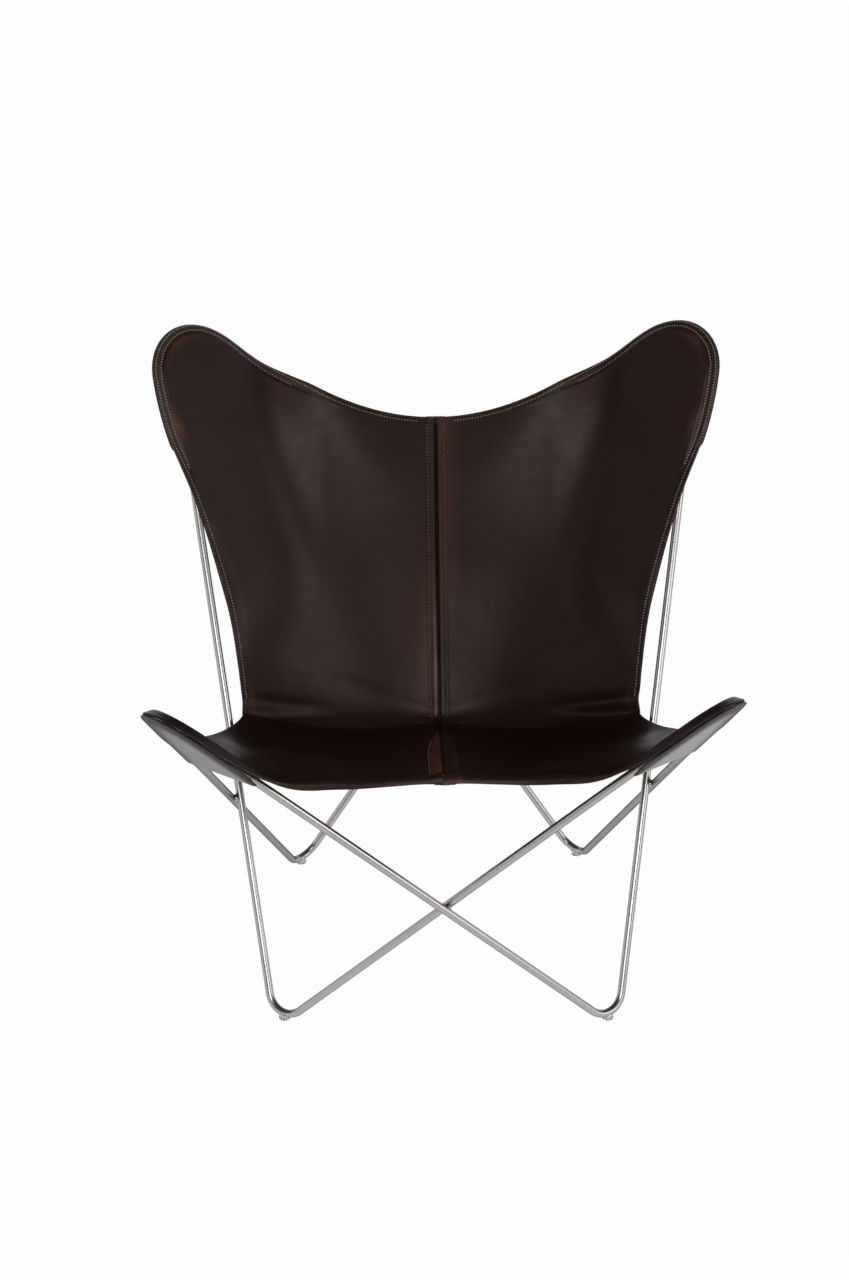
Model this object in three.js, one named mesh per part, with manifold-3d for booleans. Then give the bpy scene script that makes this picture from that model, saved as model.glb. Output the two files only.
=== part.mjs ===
// Butterfly sling chair: a leather sling hung by four pockets on two crossed, welded loops of round rod.
// Millimetres, +Z up. The sitter faces -Y, left is -X, the floor is z = 0.
import * as THREE from "three";
import { mergeVertices } from "three/addons/utils/BufferGeometryUtils.js";
import Module from "manifold-3d";

// Rod frame: each corner is the point where the centre lines of two straight runs would meet.
const ROD_DIAMETER = 12;
const BEND_RADIUS = 35;
const TIP_BEND_RADIUS = 40;
const FRONT_FOOT_HALF_SPAN = 259;
const FRONT_FOOT_Y = -238;
const REAR_FOOT_Y = 232;
const TIP_HALF_SPAN = 415;
const TIP_Y = -358;
const TIP_HEIGHT = 621;
const TOP_HALF_SPAN = 421;
const TOP_Y = 358;
const TOP_HEIGHT = 957;
const ROD_SIDES = 16;
const BEND_STEPS = 10;
const BUTT_GAP = 0.3;

// Weld beads, where the loops cross with a root gap between the rods
const WELD_ROOT_GAP = 0.3;
const WELD_RADIUS = 6.8;
const WELD_GAP = 0.3;

// Clip-on glides under the foot bends
const GLIDE_DIAMETER = 17;
const GLIDE_FLOOR = 3;
const GLIDE_GRIP = 0.55;
const GLIDE_GAP = 0.3;

// Leather
const PANEL_THICKNESS = 3.5;
const POCKET_THICKNESS = 2.5;
const BACKING_THICKNESS = 2.5;
const BACKING_WIDTH = 30;
const BACKING_GAP = 1.2;
const ROD_CLEARANCE = 0.6;
const SEWN_GAP = 0.7;
const PANEL_GAP = 0.5;

// Middle seam, in the plane x = 0: front edge, crease between seat and back, top edge
const SEAM_FRONT_Y = -295;
const SEAM_FRONT_HEIGHT = 447;
const CREASE_Y = 172;
const CREASE_HEIGHT = 287;
const CREASE_ROUNDING = 22;
const SEAT_PITCH = 12;
const BACK_PITCH = 64;
const SEAM_TOP_Y = 322;
const SEAM_TOP_HEIGHT = 756.5;

// Outline of one panel. Margins run from the rod's centre line to the leather's edge.
const TIP_FRONT_MARGIN = 27;
const TIP_SIDE_MARGIN = 21.5;
const TOP_MARGIN = 50;
const TOP_SHIFT = 25.5;
const TOP_ARC_END = 0.62;
const FRONT_EDGE_REACH = 130;
const FRONT_EDGE_RUN = 172;
const TIP_SIDE_RUN = 195;
const WAIST_HEIGHT = 388.5;
const WAIST_INSET = 25;
const WAIST_STANDOFF = 3;
const WAIST_FORWARD = 96;
const WAIST_FORWARD_RISE = 0.3;
const WAIST_UPWARD = 246;
const WAIST_UPWARD_INSET = 31;
const TOP_SIDE_RUN = 165;
const TOP_EDGE_RUN = 105;
const TOP_EDGE_REACH = 189;

// Surface of one panel
const LIFT_POWER = 1.9;
const TOP_FLAT = 80;
const TOP_FLAT_FADE = 110;
const TOP_FLAT_RUN = 300;
const TIP_FLAT = 85;
const TIP_FLAT_FADE = 145;
const TOP_RAMP = 14;
const TIP_RAMP = 12;
const POCKET_RAMP = 8;
const TIP_EDGE_DROP = 4;

// The cross lines' places along the outline at which its six stretches end
const KNOTS = [0, 0.15, 0.25, 0.45, 0.7, 0.8, 1];
const PANEL_ROWS = [8, 7, 8, 11, 7, 7];
const PANEL_COLUMNS = 12;
const COLUMN_CROWDING = 2;
const ROW_CROWDING = 1.4;
const CREASE_SPREAD = 0.05;

// Pockets: the cross lines between which each is sewn on. A back pocket has a depth at both ends and in
// the middle. A front pocket's mouth runs straight between two places along the rods from their corner.
const TOP_POCKET = { from: 0.64, to: 0.886 };
const TOP_POCKET_SIDE_DEPTH = 50;
const TOP_POCKET_EDGE_DEPTH = 14;
const TOP_POCKET_DEPTH = 150;
const TIP_POCKET = { from: 0.126, to: 0.305 };
const TIP_MOUTH_FRONT = 208;
const TIP_MOUTH_SIDE = 265;
const SEWN_FADE = 0.03;
const POCKET_COLUMNS = 6;

const wasm = await Module();
wasm.setup();

const steel = new THREE.MeshStandardMaterial({ color: 0xb4b6b8, metalness: 1, roughness: 0.3 });
const leather = new THREE.MeshStandardMaterial({ color: 0x2c211c, roughness: 0.5 });
const lining = new THREE.MeshStandardMaterial({ color: 0x6b625b, roughness: 0.7 });
const plastic = new THREE.MeshStandardMaterial({ color: 0xe4e8ea, roughness: 0.3 });

const chair = new THREE.Group();
const vec = (x, y, z) => new THREE.Vector3(x, y, z);
const along = (point, direction, length) => point.clone().addScaledVector(direction, length);
const toward = (from, to) => to.clone().sub(from).normalize();

function add(name, geometry, material) {
  const mesh = new THREE.Mesh(geometry, material);
  mesh.name = name;
  chair.add(mesh);
}

function smooth(from, to, x) {
  const t = Math.min(1, Math.max(0, (x - from) / (to - from)));
  return t * t * (3 - 2 * t);
}

// A bend between the runs from a corner to a and to b
class Bend extends THREE.Curve {
  constructor(corner, a, b, radius = BEND_RADIUS) {
    super();
    this.corner = corner;
    this.ua = toward(corner, a);
    this.ub = toward(corner, b);
    this.half = this.ua.angleTo(this.ub) / 2;
    this.inward = this.ua.clone().add(this.ub).normalize();
    this.center = along(corner, this.inward, radius / Math.sin(this.half));
    this.radius = radius;
    this.setback = radius / Math.tan(this.half);
    this.sweep = Math.PI - 2 * this.half;
    this.oa = along(this.inward, this.ua, -this.inward.dot(this.ua)).normalize().negate();
    this.ob = along(this.inward, this.ub, -this.inward.dot(this.ub)).normalize().negate();
    this.normal = this.ua.clone().cross(this.ub).normalize();
  }

  outward(t) {
    const k = 1 / Math.sin(this.sweep);
    return this.oa
      .clone()
      .multiplyScalar(k * Math.sin((1 - t) * this.sweep))
      .addScaledVector(this.ob, k * Math.sin(t * this.sweep));
  }

  getPoint(t, target = vec(0, 0, 0)) {
    return target.copy(along(this.center, this.outward(t), this.radius));
  }

  // The place of the bend's lowest point, where its outward direction points down the steepest
  lowestPlace() {
    const down = vec(0, 0, -1);
    const angle = Math.atan2(down.dot(this.outward(0.5 + 0.25 / this.sweep)) -
      down.dot(this.outward(0.5 - 0.25 / this.sweep)), 2 * Math.sin(0.25) * down.dot(this.outward(0.5)));
    return 0.5 + angle / this.sweep;
  }

  lowestHeight() {
    return this.getPoint(this.lowestPlace()).z;
  }
}

// Distance between two straight runs, the direction across it and the place along each
function crossing(a0, a1, b0, b1) {
  const da = a1.clone().sub(a0);
  const db = b1.clone().sub(b0);
  const normal = da.clone().cross(db).normalize();
  const w = b0.clone().sub(a0);
  const aa = da.dot(da);
  const ab = da.dot(db);
  const bb = db.dot(db);
  const det = aa * bb - ab * ab;
  const s = (w.dot(da) * bb - w.dot(db) * ab) / det;
  const t = (w.dot(da) * ab - w.dot(db) * aa) / det;
  return { distance: w.dot(normal), normal, s, t, a: along(a0, da, s), b: along(b0, db, t) };
}

// The loops cross at four places. Each rod's sideways place there is solved, so that the rods clear each
// other by the root gap and all four feet stand on their glides.
const CROSSING_DISTANCE = ROD_DIAMETER + WELD_ROOT_GAP;
const FOOT_REST = GLIDE_FLOOR + GLIDE_GAP + ROD_DIAMETER / 2;
const SOLVER_STEPS = 60;

function loopCorners(s, state) {
  return {
    foot: vec(-s * FRONT_FOOT_HALF_SPAN, FRONT_FOOT_Y + s * state.front, state.footHeight),
    tip: vec(s * TIP_HALF_SPAN, TIP_Y + s * state.front, TIP_HEIGHT),
    rear: vec(s * state.rearHalfSpan[s], REAR_FOOT_Y + s * state.rear, state.rearHeight),
    top: vec(-s * TOP_HALF_SPAN, TOP_Y + s * state.rear, TOP_HEIGHT),
  };
}

function solveLoops() {
  const state = {
    front: CROSSING_DISTANCE / 2,
    rear: CROSSING_DISTANCE / 2,
    rearHalfSpan: { 1: FRONT_FOOT_HALF_SPAN, [-1]: FRONT_FOOT_HALF_SPAN },
    footHeight: 0,
    rearHeight: 0,
  };
  let loops;
  for (let i = 0; i < SOLVER_STEPS; i++) {
    loops = { 1: loopCorners(1, state), [-1]: loopCorners(-1, state) };
    const [a, b] = [loops[1], loops[-1]];
    const front = crossing(a.foot, a.tip, b.foot, b.tip);
    const rear = crossing(a.rear, a.top, b.rear, b.top);
    state.front += (CROSSING_DISTANCE - Math.abs(front.distance)) / (2 * Math.abs(front.normal.y));
    state.rear += (CROSSING_DISTANCE - Math.abs(rear.distance)) / (2 * Math.abs(rear.normal.y));
    for (const s of [1, -1]) {
      const side = crossing(loops[-s].top, loops[-s].foot, loops[s].tip, loops[s].rear);
      const outside = side.distance * Math.sign(side.normal.x) * s;
      state.rearHalfSpan[s] += (CROSSING_DISTANCE - outside) / (side.t * Math.abs(side.normal.x));
    }
    const feet = [a, b].map((c) => new Bend(c.foot, c.top, c.tip).lowestHeight());
    const rears = [a, b].map((c) => new Bend(c.rear, c.tip, c.top).lowestHeight());
    state.footHeight += FOOT_REST - Math.min(...feet);
    state.rearHeight += FOOT_REST - Math.min(...rears);
  }
  return loops;
}

const loops = solveLoops();

function rodGeometry(path, steps, diameter = ROD_DIAMETER) {
  const circle = new THREE.Shape();
  for (let i = 0; i < ROD_SIDES; i++) {
    const angle = (2 * Math.PI * i) / ROD_SIDES;
    const [x, y] = [(diameter / 2) * Math.cos(angle), (diameter / 2) * Math.sin(angle)];
    if (i) circle.lineTo(x, y);
    else circle.moveTo(x, y);
  }
  return new THREE.ExtrudeGeometry(circle, { steps, extrudePath: path, bevelEnabled: false });
}

function toSolid(geometry) {
  const bare = geometry.clone();
  bare.deleteAttribute("normal");
  bare.deleteAttribute("uv");
  const merged = mergeVertices(bare, 1e-3);
  return new wasm.Manifold(
    new wasm.Mesh({
      numProp: 3,
      vertProperties: new Float32Array(merged.attributes.position.array),
      triVerts: new Uint32Array(merged.index.array),
    }),
  );
}

function toGeometry(solid) {
  const mesh = solid.getMesh();
  const geometry = new THREE.BufferGeometry();
  geometry.setAttribute("position", new THREE.BufferAttribute(new Float32Array(mesh.vertProperties), 3));
  geometry.setIndex(new THREE.BufferAttribute(new Uint32Array(mesh.triVerts), 1));
  geometry.computeVertexNormals();
  return geometry;
}

// Each loop's bends, and its straight runs between them
const bends = {};
const runs = {};
for (const s of [1, -1]) {
  const c = loops[s];
  const loop = s > 0 ? "loop_a" : "loop_b";
  const [near, far] = s > 0 ? ["left", "right"] : ["right", "left"];
  const corners = [
    { key: "foot", name: `${loop}_front_${near}_foot`, at: c.foot, from: c.top, to: c.tip },
    { key: "tip", name: `${loop}_front_${far}_tip`, at: c.tip, from: c.foot, to: c.rear },
    { key: "rear", name: `${loop}_rear_${far}_foot`, at: c.rear, from: c.tip, to: c.top },
    { key: "top", name: `${loop}_back_${near}_top`, at: c.top, from: c.rear, to: c.foot },
  ];
  const runNames = [`${loop}_front_run`, `${loop}_${far}_run`, `${loop}_rear_run`, `${loop}_${near}_run`];
  bends[s] = {};
  runs[s] = {};
  for (const corner of corners) {
    const radius = corner.key === "tip" ? TIP_BEND_RADIUS : BEND_RADIUS;
    const bend = new Bend(corner.at, corner.from, corner.to, radius);
    bends[s][corner.key] = bend;
    add(corner.name, rodGeometry(bend, BEND_STEPS), steel);
  }
  corners.forEach((corner, i) => {
    const next = corners[(i + 1) % corners.length];
    const direction = toward(corner.at, next.at);
    const start = along(corner.at, direction, bends[s][corner.key].setback + BUTT_GAP);
    const end = along(next.at, direction, -bends[s][next.key].setback - BUTT_GAP);
    runs[s][corner.key] = new THREE.LineCurve3(start, end);
    add(runNames[i], rodGeometry(runs[s][corner.key], 1), steel);
  });
}

// A weld bead fills the notch round two crossing rods
function addWeld(name, first, second) {
  const at = crossing(first.v1, first.v2, second.v1, second.v2);
  const middle = at.a.clone().lerp(at.b, 0.5);
  const ball = new THREE.SphereGeometry(WELD_RADIUS, 24, 16).translate(middle.x, middle.y, middle.z);
  const grown = ROD_DIAMETER + 2 * WELD_GAP;
  const rods = [first, second].map((run) => toSolid(rodGeometry(run, 1, grown)));
  const bead = toSolid(ball).subtract(rods[0]).subtract(rods[1]);
  add(name, toGeometry(bead), steel);
}

addWeld("front_weld", runs[1].foot, runs[-1].foot);
addWeld("rear_weld", runs[1].rear, runs[-1].rear);
addWeld("left_weld", runs[1].top, runs[-1].tip);
addWeld("right_weld", runs[-1].top, runs[1].tip);

// A glide is a short post under a foot bend's lowest point, with a trough for the rod
function addGlide(name, bend) {
  const low = bend.getPoint(bend.lowestPlace());
  const height = low.z - ROD_DIAMETER / 2 + GLIDE_GRIP * ROD_DIAMETER;
  const post = new THREE.CylinderGeometry(GLIDE_DIAMETER / 2, GLIDE_DIAMETER / 2, height, 32);
  post.rotateX(Math.PI / 2).translate(low.x, low.y, height / 2);
  const trough = toSolid(rodGeometry(bend, 2 * BEND_STEPS, ROD_DIAMETER + 2 * GLIDE_GAP));
  add(name, toGeometry(toSolid(post).subtract(trough)), plastic);
}

addGlide("front_left_glide", bends[1].foot);
addGlide("front_right_glide", bends[-1].foot);
addGlide("rear_right_glide", bends[1].rear);
addGlide("rear_left_glide", bends[-1].rear);

function quadratic(a, b, c, t) {
  const point = new THREE.QuadraticBezierCurve3(a, b, c);
  return { point: point.getPoint(t), tangent: point.getTangent(t) };
}

// The middle seam's point at a cross line, and the leather's direction towards the sitter there
function seamAt(v) {
  const front = vec(0, SEAM_FRONT_Y, SEAM_FRONT_HEIGHT);
  const crease = vec(0, CREASE_Y, CREASE_HEIGHT);
  const top = vec(0, SEAM_TOP_Y, SEAM_TOP_HEIGHT);
  const seatAngle = THREE.MathUtils.degToRad(SEAT_PITCH);
  const backAngle = THREE.MathUtils.degToRad(BACK_PITCH);
  const seatWay = vec(0, Math.cos(seatAngle), -Math.sin(seatAngle));
  const backWay = vec(0, Math.cos(backAngle), Math.sin(backAngle));
  const seatEnd = along(crease, seatWay, -CREASE_ROUNDING);
  const backStart = along(crease, backWay, CREASE_ROUNDING);
  const [low, high] = [KNOTS[3] - CREASE_SPREAD, KNOTS[3] + CREASE_SPREAD];
  let at;
  if (v < low) {
    const middle = along(seatEnd, seatWay, -0.5 * seatEnd.distanceTo(front));
    at = quadratic(front, middle, seatEnd, v / low);
  } else if (v < high) {
    at = quadratic(seatEnd, crease, backStart, (v - low) / (high - low));
  } else {
    const middle = along(backStart, backWay, 0.5 * backStart.distanceTo(top));
    at = quadratic(backStart, middle, top, (v - high) / (1 - high));
  }
  return { point: at.point, normal: vec(0, -at.tangent.z, at.tangent.y) };
}

// One half of the sling: side is -1 on the left, +1 on the right
class Half {
  constructor(side) {
    this.side = side;
    const [upper, lower] = [loops[-side], loops[side]];
    this.top = new Bend(upper.top, upper.foot, upper.rear);
    this.tip = new Bend(lower.tip, lower.foot, lower.rear, TIP_BEND_RADIUS);
    if (this.top.normal.y > 0) this.top.normal.negate();
    if (this.tip.normal.z < 0) this.tip.normal.negate();
    this.stretches = this.outlineStretches();
    const onTop = { flat: TOP_FLAT, fade: TOP_FLAT_FADE, run: TOP_FLAT_RUN, ramp: TOP_RAMP, drop: 0 };
    const onTip = { flat: TIP_FLAT, fade: TIP_FLAT_FADE, run: 0, ramp: TIP_RAMP, drop: TIP_EDGE_DROP };
    this.places = [
      { bend: this.top, pocket: TOP_POCKET, ...onTop },
      { bend: this.tip, pocket: TIP_POCKET, ...onTip },
    ];
  }

  outlineStretches() {
    const { side, top, tip } = this;
    const tipRadius = TIP_BEND_RADIUS + TIP_FRONT_MARGIN;
    const topRadius = BEND_RADIUS + TOP_MARGIN;
    const tipShift = (TIP_FRONT_MARGIN - TIP_SIDE_MARGIN) / Math.sin(2 * tip.half);
    const tipCenter = along(tip.center, tip.ua, tipShift);
    const topCenter = along(top.center, top.inward, TOP_SHIFT);
    const tipAt = (t) => along(tipCenter, tip.outward(t), tipRadius);
    const topAt = (t) => along(topCenter, top.outward(t), topRadius);
    const front = seamAt(0).point;
    const back = seamAt(1).point;
    const frontControl = vec(side * FRONT_EDGE_REACH, front.y, front.z);
    const drop = (TOP_HEIGHT - WAIST_HEIGHT) / -top.ua.z;
    const waist = along(along(top.corner, top.ua, drop), top.oa, -WAIST_INSET);
    waist.addScaledVector(top.normal, WAIST_STANDOFF);
    const forward = vec(0, -1, WAIST_FORWARD_RISE).normalize();
    const upward = along(waist, top.ua, -WAIST_UPWARD).addScaledVector(top.oa, -WAIST_UPWARD_INSET);
    const leave = topAt(TOP_ARC_END);
    const leaveWay = top.normal.clone().cross(top.outward(TOP_ARC_END)).multiplyScalar(-side).normalize();
    if (leaveWay.x * side > 0) leaveWay.negate();
    const cubic = (a, b, c, d) => {
      const curve = new THREE.CubicBezierCurve3(a, b, c, d);
      return (t) => curve.getPoint(t);
    };
    return [
      cubic(front, frontControl, along(tipAt(0), tip.ua, FRONT_EDGE_RUN), tipAt(0)),
      tipAt,
      cubic(tipAt(1), along(tipAt(1), tip.ub, TIP_SIDE_RUN), along(waist, forward, WAIST_FORWARD), waist),
      cubic(waist, upward, along(topAt(0), top.ua, TOP_SIDE_RUN), topAt(0)),
      (t) => topAt(t * TOP_ARC_END),
      cubic(leave, along(leave, leaveWay, TOP_EDGE_RUN), vec(side * TOP_EDGE_REACH, back.y, back.z), back),
    ];
  }

  outline(v) {
    const last = this.stretches.length - 1;
    let i = 0;
    while (i < last && v >= KNOTS[i + 1]) i++;
    return this.stretches[i]((v - KNOTS[i]) / (KNOTS[i + 1] - KNOTS[i]));
  }

  span(v) {
    return this.outline(v).distanceTo(seamAt(v).point);
  }

  // The panel's middle surface: a cross line leaves the seam flat and lifts towards the outline. Near the
  // two bends it lies on the rods, with its sewn edge lowered beside them.
  surface(v, u) {
    const seam = seamAt(v);
    const across = this.outline(v).sub(seam.point);
    const lift = across.dot(seam.normal);
    const span = across.length();
    const point = along(seam.point, across, u).addScaledVector(seam.normal, (u ** LIFT_POWER - u) * lift);
    const fromEdge = (1 - u) * span;
    const high = ROD_DIAMETER / 2 + ROD_CLEARANCE + PANEL_THICKNESS / 2;
    const low = (PANEL_THICKNESS + SEWN_GAP) / 2;
    for (const { bend, flat, fade, run, ramp, drop, pocket } of this.places) {
      const from = point.clone().sub(bend.center);
      const near = bend.ua.clone().multiplyScalar(Math.min(run, Math.max(0, from.dot(bend.ua))));
      const weight = 1 - smooth(flat, flat + fade, from.distanceTo(near));
      const entered = smooth(pocket.from - SEWN_FADE, pocket.from, v);
      const left = smooth(pocket.to, pocket.to + SEWN_FADE, v);
      const edge = high + (low - drop - high) * entered * (1 - left);
      const target = edge + (high - edge) * smooth(0, ramp, fromEdge);
      point.addScaledVector(bend.normal, weight * (target - from.dot(bend.normal)));
    }
    point.x += (this.side * PANEL_GAP * (1 - u)) / 2;
    return point;
  }

  // A pocket's middle surface: sewn below the panel's edge, then behind the rods
  pocketSurface(bend, v, u) {
    const panel = this.surface(v, u);
    const height = panel.clone().sub(bend.center).dot(bend.normal);
    const fromEdge = (1 - u) * this.span(v);
    const sewn = height - (PANEL_THICKNESS + POCKET_THICKNESS) / 2 - SEWN_GAP;
    const behind = -(ROD_DIAMETER / 2 + ROD_CLEARANCE + POCKET_THICKNESS / 2);
    const target = sewn + (behind - sewn) * smooth(0, POCKET_RAMP, fromEdge);
    return panel.addScaledVector(bend.normal, target - height);
  }

  // The place of the back pocket's mouth on a cross line
  topMouth(v) {
    const t = (v - TOP_POCKET.from) / (TOP_POCKET.to - TOP_POCKET.from);
    const end = TOP_POCKET_SIDE_DEPTH + (TOP_POCKET_EDGE_DEPTH - TOP_POCKET_SIDE_DEPTH) * t;
    const depth = end + (TOP_POCKET_DEPTH - end) * Math.sin(Math.PI * t);
    return 1 - depth / this.span(v);
  }

  // The place of the front pocket's mouth on a cross line, found by halving
  tipMouth(v) {
    const { corner, ua, ub } = this.tip;
    const cosine = ua.dot(ub);
    const reach = (u) => {
      const from = this.surface(v, u).sub(corner);
      const [a, b] = [from.dot(ua), from.dot(ub)];
      const share = (a - cosine * b) / TIP_MOUTH_FRONT + (b - cosine * a) / TIP_MOUTH_SIDE;
      return share / (1 - cosine ** 2);
    };
    let [beyond, within] = [0, 1];
    for (let i = 0; i < SOLVER_STEPS; i++) {
      const u = (beyond + within) / 2;
      if (reach(u) > 1) beyond = u;
      else within = u;
    }
    return within;
  }
}

// A closed sheet on a middle surface. With pointed ends its first and last rows are single points.
function sheetGeometry(rows, columns, at, facing, thickness, pointed) {
  const positions = [];
  const index = [];
  const upper = [];
  const lower = [];
  const put = (p) => positions.push(p.x, p.y, p.z) / 3 - 1;
  const last = rows.length - 1;
  rows.forEach((v, i) => {
    const count = pointed && (i === 0 || i === last) ? 0 : columns;
    upper.push([]);
    lower.push([]);
    for (let j = 0; j <= count; j++) {
      const point = at(v, j / columns);
      const normal = facing(v, j / columns);
      upper[i].push(put(along(point, normal, thickness / 2)));
      lower[i].push(put(along(point, normal, -thickness / 2)));
    }
  });
  const pick = (row, j) => row[Math.min(j, row.length - 1)];
  const triangle = (a, b, c) => {
    if (a !== b && b !== c && c !== a) index.push(a, b, c);
  };
  // Both turns cut a quad along the same diagonal, so that twisted quads keep the sheet's thickness
  const quad = (a, b, c, d, turned) => {
    triangle(a, turned ? c : b, turned ? b : c);
    triangle(a, turned ? d : c, turned ? c : d);
  };
  for (let i = 0; i < last; i++) {
    for (let j = 0; j < columns; j++) {
      for (const [side, turned] of [[upper, false], [lower, true]]) {
        const [near, far] = [side[i], side[i + 1]];
        quad(pick(near, j), pick(far, j), pick(far, j + 1), pick(near, j + 1), turned);
      }
    }
    for (const [j, turned] of [[0, false], [columns, true]]) {
      quad(pick(upper[i], j), pick(lower[i], j), pick(lower[i + 1], j), pick(upper[i + 1], j), turned);
    }
  }
  for (const [i, turned] of [[0, true], [last, false]]) {
    for (let j = 0; j < columns && !pointed; j++) {
      quad(upper[i][j], lower[i][j], lower[i][j + 1], upper[i][j + 1], turned);
    }
  }
  const geometry = new THREE.BufferGeometry();
  geometry.setAttribute("position", new THREE.Float32BufferAttribute(positions, 3));
  geometry.setIndex(index);
  return outwardFacing(geometry);
}

// Turns the faces round if they enclose a negative volume
function outwardFacing(geometry) {
  const p = geometry.attributes.position;
  const index = geometry.index.array;
  const corner = (i) => new THREE.Vector3().fromBufferAttribute(p, index[i]);
  let volume = 0;
  for (let i = 0; i < index.length; i += 3) {
    volume += corner(i).dot(corner(i + 1).cross(corner(i + 2)));
  }
  if (volume < 0) {
    for (let i = 0; i < index.length; i += 3) [index[i], index[i + 1]] = [index[i + 1], index[i]];
  }
  geometry.computeVertexNormals();
  return geometry;
}

// A surface's unit normal from small steps along both of its directions
function normalOf(surface, v, u, step = 1e-4) {
  const inV = Math.min(1 - step, Math.max(step, v));
  const inU = Math.min(1 - step, Math.max(step, u));
  const alongV = surface(inV + step, inU).sub(surface(inV - step, inU));
  const alongU = surface(inV, inU + step).sub(surface(inV, inU - step));
  return alongV.cross(alongU).normalize();
}

const crowd = (j) => 1 - (1 - j) ** COLUMN_CROWDING;

// The panel's rows crowd towards the crease from the front
function panelRows() {
  const even = (t) => t;
  const spacing = [even, even, (t) => 1 - (1 - t) ** ROW_CROWDING, even, even, even];
  const rows = [0];
  PANEL_ROWS.forEach((count, i) => {
    const length = KNOTS[i + 1] - KNOTS[i];
    for (let k = 1; k <= count; k++) rows.push(KNOTS[i] + length * spacing[i](k / count));
  });
  return rows;
}

function addPanel(name, half) {
  const surface = (v, u) => half.surface(v, u);
  const at = (v, j) => surface(v, crowd(j));
  const facing = (v, j) => normalOf(surface, v, crowd(j));
  add(name, sheetGeometry(panelRows(), PANEL_COLUMNS, at, facing, PANEL_THICKNESS, true), leather);
}

function addPocket(name, half, bend, pocket, mouth) {
  const inside = panelRows().filter((v) => v > pocket.from && v < pocket.to);
  const rows = [pocket.from, ...inside, pocket.to];
  const place = (v, j) => 1 - (1 - mouth(v)) * (1 - crowd(j));
  const surface = (v, u) => half.pocketSurface(bend, v, u);
  const at = (v, j) => surface(v, place(v, j));
  const facing = (v, j) => normalOf(surface, v, place(v, j));
  add(name, sheetGeometry(rows, POCKET_COLUMNS, at, facing, POCKET_THICKNESS, false), lining);
}

// The backing strip follows the seam behind both panels
function addBacking(name) {
  const depth = PANEL_THICKNESS / 2 + BACKING_GAP + BACKING_THICKNESS / 2;
  const positions = [];
  const index = [];
  const rows = panelRows();
  const last = rows.length - 1;
  for (const v of rows) {
    const { point, normal } = seamAt(v);
    for (const [x, h] of [[-1, 0.5], [1, 0.5], [1, -0.5], [-1, -0.5]]) {
      const p = along(point, normal, -depth + h * BACKING_THICKNESS);
      positions.push((x * BACKING_WIDTH) / 2, p.y, p.z);
    }
  }
  const face = (a, b, c, d) => index.push(a, b, c, a, c, d);
  for (let i = 0; i < last; i++) {
    for (let k = 0; k < 4; k++) {
      const next = (k + 1) % 4;
      face(4 * i + k, 4 * i + next, 4 * i + 4 + next, 4 * i + 4 + k);
    }
  }
  const end = 4 * last;
  face(3, 2, 1, 0);
  face(end, end + 1, end + 2, end + 3);
  const geometry = new THREE.BufferGeometry();
  geometry.setAttribute("position", new THREE.Float32BufferAttribute(positions, 3));
  geometry.setIndex(index);
  add(name, outwardFacing(geometry), lining);
}

for (const [word, side] of [["left", -1], ["right", 1]]) {
  const half = new Half(side);
  addPanel(`${word}_panel`, half);
  addPocket(`back_${word}_pocket`, half, half.top, TOP_POCKET, (v) => half.topMouth(v));
  addPocket(`front_${word}_pocket`, half, half.tip, TIP_POCKET, (v) => half.tipMouth(v));
}
addBacking("seam_backing");

// The origin is put on the floor below the middle of the chair's box
const box = new THREE.Box3().setFromObject(chair);
const middle = box.getCenter(vec(0, 0, 0));
for (const mesh of chair.children) mesh.geometry.translate(-middle.x, -middle.y, -box.min.z);

export default chair;
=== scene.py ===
"""Looks of a butterfly sling chair: a leather sling on two crossed loops of satin steel rod."""
import math

import bpy
import numpy as np
from mathutils import Matrix, Vector, noise
from mathutils.bvhtree import BVHTree
from mathutils.kdtree import KDTree


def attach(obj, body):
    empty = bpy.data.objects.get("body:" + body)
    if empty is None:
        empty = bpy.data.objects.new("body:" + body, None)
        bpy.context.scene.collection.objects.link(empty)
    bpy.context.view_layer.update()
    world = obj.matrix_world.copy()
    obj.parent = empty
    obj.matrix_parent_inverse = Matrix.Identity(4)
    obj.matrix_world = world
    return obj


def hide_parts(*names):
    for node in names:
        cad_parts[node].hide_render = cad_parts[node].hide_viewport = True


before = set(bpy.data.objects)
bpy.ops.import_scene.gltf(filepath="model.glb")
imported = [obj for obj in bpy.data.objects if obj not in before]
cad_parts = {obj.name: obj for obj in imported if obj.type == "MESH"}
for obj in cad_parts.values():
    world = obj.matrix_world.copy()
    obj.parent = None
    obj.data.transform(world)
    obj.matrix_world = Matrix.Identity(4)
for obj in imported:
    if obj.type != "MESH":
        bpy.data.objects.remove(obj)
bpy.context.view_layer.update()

# Lengths are in millimetres, and the CAD's sizes keep the CAD's names
MM = 0.001

# Rods
ROD_DIAMETER = 12
BEND_RADIUS = 35
TIP_BEND_RADIUS = 40
TIP_Y = -358
TIP_HEIGHT = 621
TOP_HEIGHT = 957

# Leather
PANEL_THICKNESS = 3.5
POCKET_THICKNESS = 2.5
BACKING_THICKNESS = 2.5
BACKING_WIDTH = 30
BACKING_GAP = 1.2
ROD_CLEARANCE = 0.6
SEWN_GAP = 0.7

# Middle seam
SEAM_FRONT_Y = -295
SEAM_FRONT_HEIGHT = 447
CREASE_Y = 172
CREASE_HEIGHT = 287
CREASE_ROUNDING = 22
SEAT_PITCH = 12
BACK_PITCH = 64
SEAM_TOP_Y = 322
SEAM_TOP_HEIGHT = 756.5

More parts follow.
